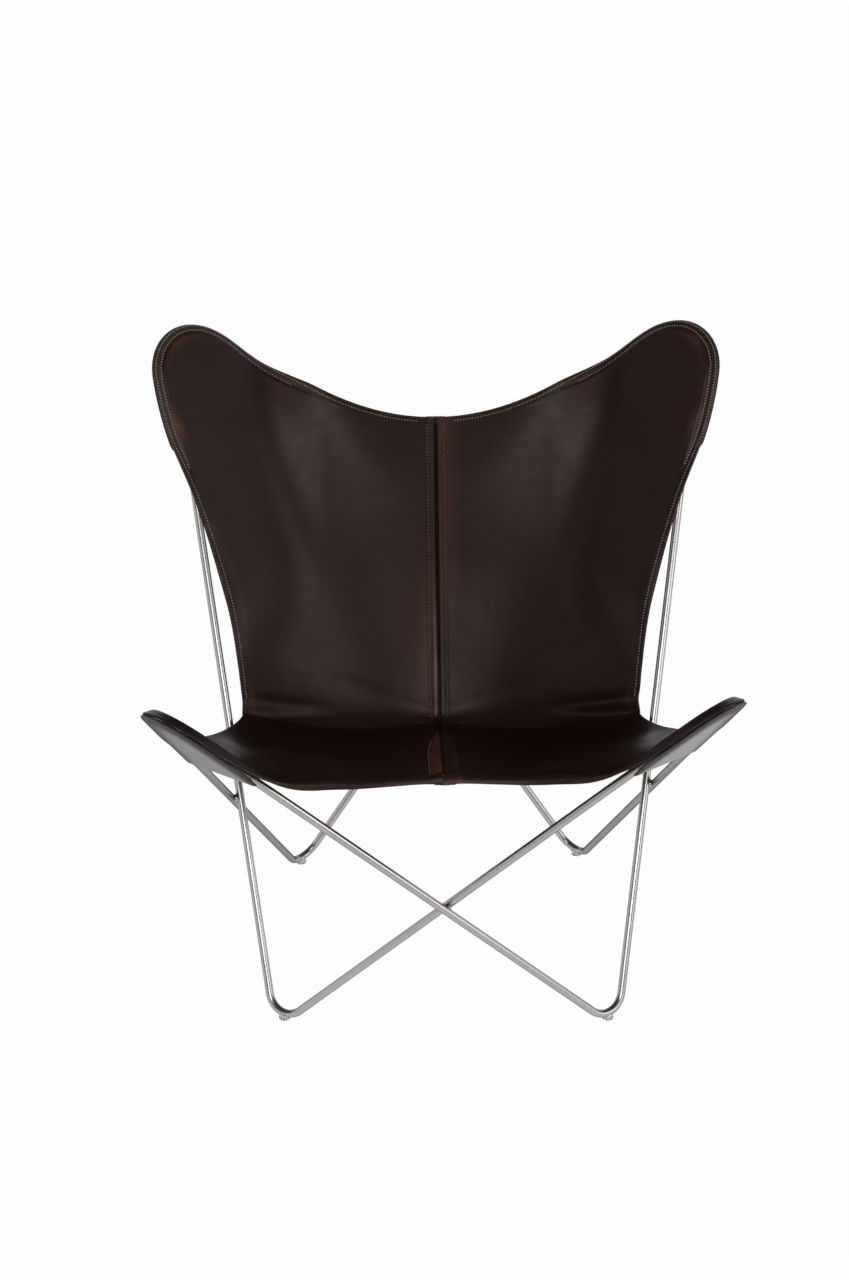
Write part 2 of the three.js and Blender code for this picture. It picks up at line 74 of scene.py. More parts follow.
# Outline of one panel
TIP_FRONT_MARGIN = 27
TIP_SIDE_MARGIN = 21.5
TOP_MARGIN = 50
TOP_SHIFT = 25.5
TOP_ARC_END = 0.62
FRONT_EDGE_REACH = 130
FRONT_EDGE_RUN = 172
TIP_SIDE_RUN = 195
WAIST_HEIGHT = 388.5
WAIST_INSET = 25
WAIST_STANDOFF = 3
WAIST_FORWARD = 96
WAIST_FORWARD_RISE = 0.3
WAIST_UPWARD = 246
WAIST_UPWARD_INSET = 31
TOP_SIDE_RUN = 165
TOP_EDGE_RUN = 105
TOP_EDGE_REACH = 189

# Surface of one panel
LIFT_POWER = 1.9
TOP_FLAT = 80
TOP_FLAT_FADE = 110
TOP_FLAT_RUN = 300
TIP_FLAT = 85
TIP_FLAT_FADE = 145
TIP_RAMP = 12
TIP_EDGE_DROP = 4
KNOTS = np.array([0, 0.15, 0.25, 0.45, 0.7, 0.8, 1])
CREASE_SPREAD = 0.05

# Pockets: the first and last cross line of each. A back pocket has a depth at both ends and in the
# middle. A front pocket's mouth runs straight between two places along the rods from their corner.
TOP_POCKET = (0.64, 0.886)
TOP_POCKET_SIDE_DEPTH = 50
TOP_POCKET_EDGE_DEPTH = 14
TOP_POCKET_DEPTH = 150
TIP_POCKET = (0.126, 0.305)
TIP_MOUTH_FRONT = 208
TIP_MOUTH_SIDE = 265
HALVINGS = 40

# From here on the sizes are the scene's own. A pair is where a change starts and ends, or the place and
# width of a peak. Places along the seam are cross lines, from 0 at the front to 1 at the top.

# How softly a panel meets a pocket's ends, and from how far in the pocket wraps round to the edge
POCKET_FADE = 0.04
POCKET_WRAP = 20

# The fine meshes. A panel's rows lie between these cross lines, closest at both ends and at the crease.
ROW_KNOTS = (0, 0.15, 0.25, 0.42, 0.48, 0.7, 0.8, 1)
FINE_PANEL_ROWS = (44, 26, 36, 40, 44, 40, 80)
FINE_CROWDING = 1.8
FINE_PANEL_COLUMNS = 140
RIM_POINTS = 1400
FINE_POCKET_ROWS = 90
FINE_POCKET_COLUMNS = 36
FINE_BACKING_ROWS = 260
FINE_BACKING_COLUMNS = 16
FINE_ROD_SIDES = 32
FINE_BEND_STEPS = 24
FINE_RUN_STEPS = 48
NORMAL_STEP = 1e-4
BATCH = 2000

# Edges: the thinnest leather, the band round a back pocket, and the hem of the front edge
THINNEST = 0.3
BAND = (8, 17)
BAND_ROLL = 2.4
HEM_WIDTH = 9
HEM_DROP = 10
HEM_LIFT = 6.5
HEM_LIFT_END = 110
HEM_LUMP = 0.25
HEM_LUMP_WIDTH = 14
GROOVE_DEPTH = 0.7
GROOVE_WIDTH = 2.2

# The seam: its slit, the left (-1) and right (1) ridge, and the sewn strip on both sides of it
SEAM_SLIT = 0.1
SEAM_RIDGE = {-1: 3.6, 1: 0.9}
SEAM_CREST = 4.5
SEAM_GROOVE = 3
GROOVE_FROM_EDGE = (6, 22)
SEAM_SWELL = 0.35
SWELL_PLACE = (0.56, 0.08)
RIDGE_OVERRUN = 2
DIP_OVERRUN = 1
SEAM_ROW = 12.8
SEAT_ROW = {-1: 20, 1: 22}
CREASE_STRIP = {-1: 4, 1: SEAM_ROW}
BACK_STRIP = (0.43, 0.46)
SEAT_STRIP_END = 0.38
SEAT_STRIP_FADE = 0.1
SEAT_STRIP_POWER = 0.6

# Stitches: their shape, and each row's distance from the edge or the seam, its ends and its painted
# highlight, a lighter thread colour that stands in for light catching the row
EDGE_PITCH = 4.6
SEAM_PITCH = 5.5
STITCH_SHARE = 0.55
STITCH_RINGS = 5
STITCH_SIDES = 6
STITCH_RISE = 0.75
STITCH_ARCH = 1.5
STITCH_TAPER = 0.3
THREAD_RADIUS = 1.1
EDGE_ROW = 7
EDGE_ROW_ENDS = (0.458, 0.99)
EDGE_THREAD_HIGHLIGHT = 1
BAND_OUTER_ROW = 3.2
BAND_INNER_ROW = 13
BAND_OVERRUN = 0.02
CREASE_ROW = 0.4515
CREASE_ROW_ENDS = (17, 46)
CREASE_THREAD_HIGHLIGHT = 0
BACK_ROW_ENDS = (0.465, 0.985)
BACK_THREAD_HIGHLIGHT = {-1: 0.4, 1: 0.25}
SEAT_ROW_ENDS = (0.04, 0.33)
SEAT_THREAD_HIGHLIGHT = 0.2
STRIP_ROW = 12
STRIP_ROW_ENDS = (0.02, 0.985)
STRIP_THREAD_HIGHLIGHT = 0.5
CREASE_ROW_POINTS = 40
BACK_ROW_POINTS = 400
SEAT_ROW_POINTS = 240
STRIP_ROW_POINTS = 700
EDGE_ROW_FEWEST = 30
EDGE_ROW_POINTS = 900
INWARD_PROBE = 0.93

# Slack in the leather: slow waves, folds beside the waist, and side edges that curl back above it
WAVE_SIZE = 130
WAVE_HEIGHT = 1.6
WAVES_FROM_EDGE = (30, 130)
WAVES_FROM_SEAM = (8, 40)
FOLD_HEIGHT = {-1: 0.8 * 3.2, 1: 1.7 * 3.2}
FOLD_WIDTH = 0.0042
FOLD_STEP = 1.7
FOLD_WAVES = (1, -0.8, 0.5)
FOLD_CREST = 0.457
FOLD_SLANT = 0.022
FOLD_START = (0.5, 0.82)
FOLD_END = (0.94, 1)
FOLD_END_LOSS = 0.5
CURL_PLACE = (0.53, 0.04)
CURL_DROP = 7
CURL_WIDTH = 30

# Colour marks on the leather: burnished red, raised on the left of the seam and on its seat strip to paint
# the light there, painted highlights, and the dyed edge of the lower side
SEAT_MARKS_END = (0.34, 0.37)
BACK_MARKS_START = (0.455, 0.48)
STRIP_EDGE = (-2, 1)
STRIP_LIP = (2, 5)
# Burnished red on the left of the seam and on the seat's strip, raised to paint the light falling there
LEFT_BURNISH_AND_LIGHT = 0.16
LEFT_BURNISH_AND_LIGHT_ACROSS = (18, 11)
LEFT_BURNISH_AND_LIGHT_ALONG = (0.6, 0.12)
LEFT_BURNISH_AND_LIGHT_END = (0.64, 0.85)
LEFT_LIP_BURNISH_AND_LIGHT = 0.28
SEAT_BURNISH_AND_LIGHT_LOSS = 0.35
SEAT_BURNISH_AND_LIGHT_FADE = (0.1, 0.25)
SEAT_BURNISH_AND_LIGHT_START = (9, 16)
RIGHT_BURNISH = 0.22
RIGHT_BURNISH_START = (1, 4)
RIGHT_BURNISH_END = (4, 46)
RIGHT_BURNISH_ALONG = (0.56, 0.72)
SEAT_LINE = 0.35
SEAT_LINE_WIDTH = 2.5
SEAT_LINE_END = (0.2, 0.3)
RIGHT_SEAT_BURNISH = 0.1
BAND_BURNISH = 0.04
BAND_BURNISH_ACROSS = (19, 7)
BAND_SPOTS = ((0.34, 0.665, 0.01), (0.18, 0.755, 0.02), (0.12, 0.46, 0.008))
# Painted highlights: the left crest, the seam's strips, the bands round the back pockets (stronger on the
# left, where light falls) and the cut edge
CREST_HIGHLIGHT_ALONG = (0.55, 0.1)
CREST_HIGHLIGHT_WIDTH = 2.8
STRIP_HIGHLIGHT = {-1: 0.09, 1: 0.05}
RIGHT_HIGHLIGHT_END = (0.56, 0.64)
BAND_HIGHLIGHT = {-1: 0.22, 1: 0.1}
BAND_HIGHLIGHT_END = (9, 14)
RIM_HIGHLIGHT = 0.2
RIM_HIGHLIGHT_END = (0.3, 1.3)
RIM_HIGHLIGHT_START = (0.44, 0.48)
DYED_EDGE = (4, 12)
BACK_TURNED = (1, 4)
FRONT_TURNED = (12, 55)


def unit(vectors):
    return vectors / np.linalg.norm(vectors, axis=-1, keepdims=True)


def dot(a, b):
    return (a * b).sum(axis=-1)


def smooth(low, high, x):
    t = np.clip((x - low) / (high - low), 0, 1)
    return t * t * (3 - 2 * t)


def rolled(distance, radius):
    """How far a rounded edge lies below its flat side, at a distance from the edge."""
    return radius * (1 - np.sqrt(1 - np.clip(1 - distance / radius, 0, 1) ** 2))


def half_thickness(edge, thickness):
    """Half of a sheet's thickness at a distance from its rounded edge."""
    ramp = np.sqrt(1 - np.clip(1 - edge / (thickness / 2), 0, 1) ** 2)
    return np.maximum(thickness * ramp, THINNEST) / 2


def near(x, place, width):
    """1 at a place, falling off beside it."""
    return np.exp(-(((x - place) / width) ** 2))


def inside(v, pocket):
    """1 on a pocket's cross lines, fading out at both ends."""
    entered = smooth(pocket[0] - POCKET_FADE, pocket[0] + POCKET_FADE / 2, v)
    return entered * (1 - smooth(pocket[1], pocket[1] + POCKET_FADE, v))


def mesh_points(node):
    """A CAD node's separate points, in millimetres."""
    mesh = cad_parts[node].data
    points = np.empty(3 * len(mesh.vertices))
    mesh.vertices.foreach_get("co", points)
    return np.unique(np.round(points.reshape(-1, 3) / MM, 3), axis=0)


def run_ends(node):
    """Both ends of a straight rod's centre line."""
    points = mesh_points(node)
    middle = points.mean(axis=0)
    way = np.linalg.svd(points - middle, full_matrices=False)[2][0]
    place = (points - middle) @ way
    return points[place < 0].mean(axis=0), points[place > 0].mean(axis=0)


def meeting(first, second):
    """The corner where the centre lines of two straight rods would meet."""
    a, b = run_ends(first)
    c, d = run_ends(second)
    s, t = np.linalg.lstsq(np.stack([b - a, c - d], axis=1), c - a, rcond=None)[0]
    return (a + s * (b - a) + c + t * (d - c)) / 2


def loop_corners(loop, foot_side, tip_side):
    """A loop's corners. Its front foot and back top lie on one side, its tip and rear foot on the other."""
    front, rear = f"{loop}_front_run", f"{loop}_rear_run"
    foot_run, tip_run = f"{loop}_{foot_side}_run", f"{loop}_{tip_side}_run"
    return {
        "foot": meeting(foot_run, front),
        "tip": meeting(front, tip_run),
        "rear": meeting(tip_run, rear),
        "top": meeting(rear, foot_run),
    }


# The sling's sizes count from the frame's own middle, which the CAD has moved to its origin
corners = {1: loop_corners("loop_a", "left", "right"), -1: loop_corners("loop_b", "right", "left")}
ORIGIN = (corners[1]["tip"] + corners[-1]["tip"]) / 2 - np.array([0, TIP_Y, TIP_HEIGHT])
for loop_points in corners.values():
    for key in loop_points:
        loop_points[key] = loop_points[key] - ORIGIN


class Bend:
    """A rod's bend between the runs that leave a corner towards a and towards b."""

    def __init__(self, corner, a, b, radius=BEND_RADIUS):
        self.corner = corner
        self.radius = radius
        self.ua = unit(a - corner)
        self.ub = unit(b - corner)
        self.inward = unit(self.ua + self.ub)
        half = math.acos(float(self.ua @ self.ub)) / 2
        self.sweep = math.pi - 2 * half
        self.spread = 2 * half
        self.center = corner + self.inward * radius / math.sin(half)
        self.oa = unit((self.inward @ self.ua) * self.ua - self.inward)
        self.ob = unit((self.inward @ self.ub) * self.ub - self.inward)
        self.normal = unit(np.cross(self.ua, self.ub))

    def outward(self, t):
        t = np.asarray(t, dtype=float)[..., None]
        away = np.sin((1 - t) * self.sweep) * self.oa + np.sin(t * self.sweep) * self.ob
        return away / math.sin(self.sweep)

    def at(self, t, margin=0):
        return self.center + (self.radius + margin) * self.outward(t)


def quadratic(a, b, c, t):
    t = t[:, None]
    point = (1 - t) ** 2 * a + 2 * t * (1 - t) * b + t * t * c
    return point, unit((1 - t) * (b - a) + t * (c - b))


def cubic(a, b, c, d):
    """A cubic curve, as a function of t from 0 to 1."""

    def at(t):
        t = np.asarray(t, dtype=float)[..., None]
        q = 1 - t
        return q**3 * a + 3 * q * q * t * b + 3 * q * t * t * c + t**3 * d

    return at


def seam_at(v):
    """The middle seam's points at cross lines v, and the leather's direction towards the sitter there."""
    front = np.array([0, SEAM_FRONT_Y, SEAM_FRONT_HEIGHT])
    crease = np.array([0, CREASE_Y, CREASE_HEIGHT])
    top = np.array([0, SEAM_TOP_Y, SEAM_TOP_HEIGHT])
    seat_angle, back_angle = math.radians(SEAT_PITCH), math.radians(BACK_PITCH)
    seat_way = np.array([0, math.cos(seat_angle), -math.sin(seat_angle)])
    back_way = np.array([0, math.cos(back_angle), math.sin(back_angle)])
    seat_end = crease - CREASE_ROUNDING * seat_way
    back_start = crease + CREASE_ROUNDING * back_way
    low, high = KNOTS[3] - CREASE_SPREAD, KNOTS[3] + CREASE_SPREAD
    seat_middle = seat_end - 0.5 * np.linalg.norm(seat_end - front) * seat_way
    back_middle = back_start + 0.5 * np.linalg.norm(top - back_start) * back_way
    point, way = np.zeros((len(v), 3)), np.zeros((len(v), 3))
    parts = [
        (v < low, front, seat_middle, seat_end, 0, low),
        ((v >= low) & (v < high), seat_end, crease, back_start, low, high),
        (v >= high, back_start, back_middle, top, high, 1),
    ]
    for here, a, b, c, start, end in parts:
        point[here], way[here] = quadratic(a, b, c, (v[here] - start) / (end - start))
    return point, np.stack([np.zeros(len(v)), -way[:, 2], way[:, 1]], axis=-1)


class Half:
    """One half of the sling: side is -1 on the left, +1 on the right."""

    def __init__(self, side):
        self.side = side
        upper, lower = corners[-side], corners[side]
        self.top = Bend(upper["top"], upper["foot"], upper["rear"])
        self.tip = Bend(lower["tip"], lower["foot"], lower["rear"], TIP_BEND_RADIUS)
        if self.top.normal[1] > 0:
            self.top.normal = -self.top.normal
        if self.tip.normal[2] < 0:
            self.tip.normal = -self.tip.normal
        self.stretches = self.outline_stretches()
        self.rim = self.outline(np.linspace(0, 1, RIM_POINTS))
        self.rim_tree = KDTree(RIM_POINTS)
        for i, point in enumerate(self.rim):
            self.rim_tree.insert(point, i)
        self.rim_tree.balance()

    def outline_stretches(self):
        """The outline's curves between the knots, from the seam's front end round to its top end."""
        side, top, tip = self.side, self.top, self.tip
        tip_shift = (TIP_FRONT_MARGIN - TIP_SIDE_MARGIN) / math.sin(tip.spread)

        def tip_at(t):
            return tip.at(t, TIP_FRONT_MARGIN) + tip_shift * tip.ua

        def top_at(t):
            return top.at(t, TOP_MARGIN) + TOP_SHIFT * top.inward

        front, back = seam_at(np.array([0.0, 1.0]))[0]
        front_control = front + np.array([side * FRONT_EDGE_REACH, 0, 0])
        back_control = back + np.array([side * TOP_EDGE_REACH, 0, 0])
        drop = (TOP_HEIGHT - WAIST_HEIGHT) / -top.ua[2]
        waist = top.corner + drop * top.ua - WAIST_INSET * top.oa + WAIST_STANDOFF * top.normal
        forward = unit(np.array([0, -1, WAIST_FORWARD_RISE]))
        upward = waist - WAIST_UPWARD * top.ua - WAIST_UPWARD_INSET * top.oa
        leave = top_at(TOP_ARC_END)
        leave_way = unit(np.cross(top.normal, top.outward(TOP_ARC_END)))
        if leave_way[0] * side > 0:
            leave_way = -leave_way
        side_control = tip_at(1) + TIP_SIDE_RUN * tip.ub
        return [
            cubic(front, front_control, tip_at(0) + FRONT_EDGE_RUN * tip.ua, tip_at(0)),
            tip_at,
            cubic(tip_at(1), side_control, waist + WAIST_FORWARD * forward, waist),
            cubic(waist, upward, top_at(0) + TOP_SIDE_RUN * top.ua, top_at(0)),
            lambda t: top_at(t * TOP_ARC_END),
            cubic(leave, leave + TOP_EDGE_RUN * leave_way, back_control, back),
        ]

    def outline(self, v):
        stretch = np.clip(np.searchsorted(KNOTS, v, side="right") - 1, 0, len(self.stretches) - 1)
        points = np.zeros((len(v), 3))
        for i, curve in enumerate(self.stretches):
            here = stretch == i
            points[here] = curve((v[here] - KNOTS[i]) / (KNOTS[i + 1] - KNOTS[i]))
        return points

    def span(self, v):
        return np.linalg.norm(self.outline(v) - seam_at(v)[0], axis=-1)

    def from_rim(self, points):
        """Distances to the outline of points that aren't laid on the rods yet."""
        place = np.array([self.rim_tree.find(point)[1] for point in points])
        found = np.full(len(points), np.inf)
        for step in (-1, 0):
            i = np.clip(place + step, 0, RIM_POINTS - 2)
            start, way = self.rim[i], self.rim[i + 1] - self.rim[i]
            t = np.clip(dot(points - start, way) / dot(way, way), 0, 1)
            found = np.minimum(found, np.linalg.norm(points - start - t[:, None] * way, axis=-1))
        return found

    def stretched(self, v, u):
        """The panel's middle surface for flat arrays v and u, before it is laid on the rods."""
        seam, facing = seam_at(v)
        across = self.outline(v) - seam
        lift = dot(across, facing)
        return seam + u[:, None] * across + ((u**LIFT_POWER - u) * lift)[:, None] * facing

    def surface(self, v, u):
        """The panel's middle surface, laid on the rods as in the CAD but with crisper pocket edges."""
        point = self.stretched(v, u)
        from_edge = self.from_rim(point)
        high = ROD_DIAMETER / 2 + ROD_CLEARANCE + PANEL_THICKNESS / 2
        low = (PANEL_THICKNESS + SEWN_GAP) / 2
        places = [
            (self.top, TOP_FLAT, TOP_FLAT_FADE, TOP_FLAT_RUN, 0, TOP_POCKET, BAND),
            (self.tip, TIP_FLAT, TIP_FLAT_FADE, 0, TIP_EDGE_DROP, TIP_POCKET, (0, TIP_RAMP)),
        ]
        for bend, flat, fade, run, drop, pocket, ramp in places:
            away = point - bend.center
            along = np.clip(away @ bend.ua, 0, run)[:, None] * bend.ua
            weight = 1 - smooth(flat, flat + fade, np.linalg.norm(away - along, axis=-1))
            edge = high + (low - drop - high) * inside(v, pocket)
            target = edge + (high - edge) * smooth(*ramp, from_edge)
            point = point + (weight * (target - away @ bend.normal))[:, None] * bend.normal
        point[:, 0] += self.side * SEAM_SLIT * (1 - u) / 2
        return point

    def pocket_surface(self, bend, v, u):
        """A pocket's middle surface: sewn below the panel's edge, then behind the rods."""
        panel = self.surface(v, u)
        height = (panel - bend.center) @ bend.normal
        sewn = height - (PANEL_THICKNESS + POCKET_THICKNESS) / 2 - SEWN_GAP
        behind = -(ROD_DIAMETER / 2 + ROD_CLEARANCE + POCKET_THICKNESS / 2)
        wrapped = 1 - rolled(self.from_rim(self.stretched(v, u)) / POCKET_WRAP, 1)
        target = sewn + (behind - sewn) * wrapped
        return panel + (target - height)[:, None] * bend.normal

    def top_mouth(self, v):
        """The places of the back pocket's mouth on cross lines."""
        t = (v - TOP_POCKET[0]) / (TOP_POCKET[1] - TOP_POCKET[0])
        at_end = TOP_POCKET_SIDE_DEPTH + (TOP_POCKET_EDGE_DEPTH - TOP_POCKET_SIDE_DEPTH) * t
        depth = at_end + (TOP_POCKET_DEPTH - at_end) * np.sin(math.pi * t)
        return 1 - depth / self.span(v)

    def tip_mouth(self, v):
        """The places of the front pocket's mouth on cross lines, found by halving."""
        tip = self.tip
        cosine = math.cos(tip.spread)
        beyond, within = np.zeros(len(v)), np.ones(len(v))
        for _ in range(HALVINGS):
            u = (beyond + within) / 2
            away = self.surface(v, u) - tip.corner
            a, b = away @ tip.ua, away @ tip.ub
            reach = (a - cosine * b) / TIP_MOUTH_FRONT + (b - cosine * a) / TIP_MOUTH_SIDE
            past = reach > 1 - cosine**2
            beyond, within = np.where(past, u, beyond), np.where(past, within, u)
        return within


def normals_of(surface, v, u, towards):
    """A surface's unit normals from small steps along both of its directions, turned to a given side."""
    v = np.clip(v, NORMAL_STEP, 1 - NORMAL_STEP)
    u = np.clip(u, NORMAL_STEP, 1 - NORMAL_STEP)
    along_v = surface(v + NORMAL_STEP, u) - surface(v - NORMAL_STEP, u)
    along_u = surface(v, u + NORMAL_STEP) - surface(v, u - NORMAL_STEP)
    normals = unit(np.cross(along_v, along_u))
    return normals * np.sign(dot(normals, towards))[:, None]


def nearest(points, line):
    """Each point's distance to a line's points."""
    found = np.empty(len(points))
    for start in range(0, len(points), BATCH):
        part = points[start : start + BATCH, None, :] - line[None]
        found[start : start + BATCH] = np.sqrt((part**2).sum(axis=-1).min(axis=1))
    return found


def new_object(name, points, faces, materials, face_slots=None, values=None):
    """A smooth mesh object from points in millimetres. It rides on the chair's one body."""
    used = sorted({i for face in faces for i in face})
    place = {old: new for new, old in enumerate(used)}
    mesh = bpy.data.meshes.new(name)
    mesh.from_pydata(((points[used] + ORIGIN) * MM).tolist(), [], [[place[i] for i in f] for f in faces])
    for item in materials:
        mesh.materials.append(item)
    mesh.polygons.foreach_set("use_smooth", [True] * len(mesh.polygons))
    if face_slots is not None:
        mesh.polygons.foreach_set("material_index", face_slots)
    for key, numbers in (values or {}).items():
        layer = mesh.attributes.new(key, "FLOAT", "POINT")
        layer.data.foreach_set("value", np.asarray(numbers, dtype=np.float32)[used])
    mesh.update()
    obj = bpy.data.objects.new(name, mesh)
    bpy.context.scene.collection.objects.link(obj)
    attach(obj, "root")
    return obj


def grid_faces(index):
    """The four-sided faces between the rows and columns of a grid of point numbers."""
    corner_lists = [index[:-1, :-1], index[1:, :-1], index[1:, 1:], index[:-1, 1:]]
    return np.stack(corner_lists, axis=-1).reshape(-1, 4)


def distinct(faces):
    """Faces without repeated corners, and which of the given faces they are."""
    kept, places = [], []
    for i, face in enumerate(faces):
        corners_left = list(dict.fromkeys(int(c) for c in face))
        if len(corners_left) > 2:
            kept.append(corners_left)
            places.append(i)
    return kept, places


def sheet_object(name, upper, lower, pointed, flip, materials, values=None):
    """A closed sheet between two grids of points. With pointed ends the end rows are one point each."""
    rows, columns = upper.shape[:2]
    index = np.arange(2 * rows * columns).reshape(2, rows, columns)
    if pointed:
        index[:, [0, -1], :] = index[:, [0, -1], :1]
    rims = [
        np.concatenate([side[0, :-1], side[:-1, -1], side[-1, :0:-1], side[:0:-1, 0]]) for side in index
    ]
    rim = np.stack([rims[0], rims[1], np.roll(rims[1], -1), np.roll(rims[0], -1)], axis=-1)
    top, bottom = grid_faces(index[0]), grid_faces(index[1])[:, ::-1]
    everything = np.concatenate([top, bottom, rim[:, ::-1]])
    if flip:
        everything = everything[:, ::-1]
    faces, places = distinct(everything)
    slots = [1 if len(top) <= i < len(top) + len(bottom) else 0 for i in places]
    points = np.concatenate([upper.reshape(-1, 3), lower.reshape(-1, 3)])
    doubled = {key: np.concatenate([v.ravel(), v.ravel()]) for key, v in (values or {}).items()}
    return new_object(name, points, faces, materials, slots, doubled)


def tube_object(name, path, radius, sides, materials):
    """A closed round tube along a closed path."""
    ways = unit(np.roll(path, -1, axis=0) - np.roll(path, 1, axis=0))
    side = unit(np.cross(ways[0], [0, 0, 1.0]))
    frames = []
    for way in ways:
        side = unit(side - (side @ way) * way)
        frames.append(side)
    last = frames[-1] - (frames[-1] @ ways[0]) * ways[0]
    twist = math.atan2(float(np.cross(last, frames[0]) @ ways[0]), float(last @ frames[0]))
    lengths = np.linalg.norm(np.roll(path, -1, axis=0) - path, axis=-1)
    share = np.concatenate([[0], np.cumsum(lengths)[:-1]]) / lengths.sum()
    angles = twist * share[:, None] + np.linspace(0, 2 * math.pi, sides, endpoint=False)[None]
    first = np.array(frames)
    second = np.cross(ways, first)
    rings = np.cos(angles)[..., None] * first[:, None] + np.sin(angles)[..., None] * second[:, None]
    points = (path[:, None] + radius * rings).reshape(-1, 3)
    index = np.arange(len(points)).reshape(len(path), sides)
    wrapped = np.pad(index, ((0, 1), (0, 1)), mode="wrap")
    return new_object(name, points, grid_faces(wrapped).tolist(), materials)


# Materials: the range of a noise that counts, and linear colours, mostly a darker and a lighter one
NOISE = (0.3, 0.7)
LEATHER = ((0.0180, 0.0079, 0.0052), (0.0250, 0.0111, 0.0074))
# A burnished red, light enough to paint the light on the left seam, and the colour of painted highlights
BURNISH_AND_PAINTED_LIGHT = (0.30, 0.105, 0.055)
PAINTED_HIGHLIGHT = (0.24, 0.186, 0.166)
FLESH = ((0.105, 0.074, 0.056), (0.150, 0.108, 0.082))
FLESH_FIBRE = (0.21, 0.158, 0.122)
SUEDE = ((0.60, 0.58, 0.59), (0.70, 0.68, 0.69))
SUEDE_FIBRE = (0.78, 0.76, 0.77)
TURNED = (0.026, 0.016, 0.013)
# Thread: a plain colour, and a lighter one painted where light catches a row
PLAIN_THREAD = ((0.040, 0.021, 0.015), (0.075, 0.042, 0.031))
LIT_THREAD = ((0.30, 0.245, 0.22), (0.46, 0.39, 0.35))
STEEL = ((0.40, 0.385, 0.37), (0.45, 0.435, 0.415))
PLASTIC = ((0.90, 0.91, 0.91), (0.96, 0.97, 0.97))


class Nodes:
    """Short ways to add nodes to a shader tree. Inputs are named with underscores for spaces."""

    def __init__(self, owner):
        owner.use_nodes = True
        self.tree = owner.node_tree

    def feed(self, socket, value):
        """Sets an input to a number or a colour, or links it to an output."""
        if isinstance(value, tuple):
            socket.default_value = (*value, 1)
        elif isinstance(value, (int, float)):
            socket.default_value = value
        else:
            self.tree.links.new(value, socket)

    def set(self, node, **inputs):
        for key, value in inputs.items():
            self.feed(node.inputs[key.replace("_", " ")], value)

    def add(self, kind, **inputs):
        node = self.tree.nodes.new(f"ShaderNode{kind}")
        self.set(node, **inputs)
        return node

    def math(self, operation, a, b):
        node = self.add("Math")
        node.operation = operation
        self.feed(node.inputs[0], a)
        self.feed(node.inputs[1], b)
        return node.outputs["Value"]

    def seen_share(self):
        """1 for rays that show the background itself: camera, glossy and transmission rays."""
        rays = self.add("LightPath").outputs
        seen = self.math("MAXIMUM", rays["Is Camera Ray"], rays["Is Glossy Ray"])
        return self.math("MAXIMUM", seen, rays["Is Transmission Ray"])

    def mix_by_ray(self, share, lit, seen, output):
        """Gives an output one shader to light the chair with and another, by a share, to be seen."""
        mix = self.add("MixShader", Fac=share)
        self.feed(mix.inputs[1], lit)
        self.feed(mix.inputs[2], seen)
        self.set(self.tree.nodes[output], Surface=mix.outputs["Shader"])


class Finish(Nodes):
    """A material of the chair: noises and marks that drive one shader."""

    def __init__(self, name):
        self.material = bpy.data.materials.new(name)
        super().__init__(self.material)
        self.place = self.add("TexCoord").outputs["Object"]

    def noise(self, scale, detail, roughness):
        node = self.add("TexNoise", Vector=self.place, Scale=scale, Detail=detail, Roughness=roughness)
        return node.outputs["Fac"]

    def cells(self, scale):
        node = self.add("TexVoronoi", Vector=self.place, Scale=scale)
        node.feature = "DISTANCE_TO_EDGE"
        return node.outputs["Distance"]

    def attribute(self, name):
        node = self.add("Attribute")
        node.attribute_name = name
        return node.outputs["Fac"]

    def between(self, source, low, high, to_low=0.0, to_high=1.0):
        """A value's place between low and high, held within those ends and scaled to the other two."""
        ends = {"From_Min": low, "From_Max": high, "To_Min": to_low, "To_Max": to_high}
        return self.add("MapRange", Value=source, **ends).outputs["Result"]

    def mix(self, share, first, second):
        node = self.add("Mix")
        node.data_type = "RGBA"
        self.set(node, Factor=share, A=first, B=second)
        return node.outputs["Result"]

    def bump(self, height, depth, before=None):
        """Relief of a depth in millimetres, on top of an earlier bump if one is given."""
        node = self.add("Bump", Strength=1, Distance=depth * MM, Height=height)
        if before is not None:
            self.set(node, Normal=before)
        return node.outputs["Normal"]

    def shade(self, **inputs):
        """Sets or links the shader's inputs and gives the material."""
        self.set(self.tree.nodes["Principled BSDF"], **inputs)
        return self.material


def leather_material():
    """Smooth dark brown saddle leather: soft mottling, burnished red that also paints light on the left
    seam, painted highlights and a fine grain.
    """
    n = Finish("leather")
    cloud = n.between(n.noise(9, 5, 0.55), 0.3, 0.72)
    body = n.mix(cloud, *LEATHER)
    patch = n.between(n.noise(34, 4, 0.6), 0.35, 0.68)
    patchy = n.between(patch, 0, 1, 0.6, 1.0)
    # Burnished red, which on the left seam also paints the light falling there, then the painted highlights
    colour = n.mix(n.math("MULTIPLY", n.attribute("burnish_and_painted_light"), patchy), body, BURNISH_AND_PAINTED_LIGHT)
    colour = n.mix(n.math("MULTIPLY", n.attribute("pale"), patchy), colour, PAINTED_HIGHLIGHT)
    gloss = n.between(n.noise(60, 4, 0.6), *NOISE, 0.33, 0.42)
    grain = n.bump(n.between(n.cells(620), 0.0, 0.25), 0.05)
    grain = n.bump(n.noise(900, 2, 0.6), 0.04, grain)
    grain = n.bump(n.noise(45, 3, 0.5), 0.35, grain)
    n.shade(Base_Color=colour, Roughness=gloss, Normal=grain)
    return n.shade(Specular_IOR_Level=0.27, Specular_Tint=(1.0, 0.88, 0.84))


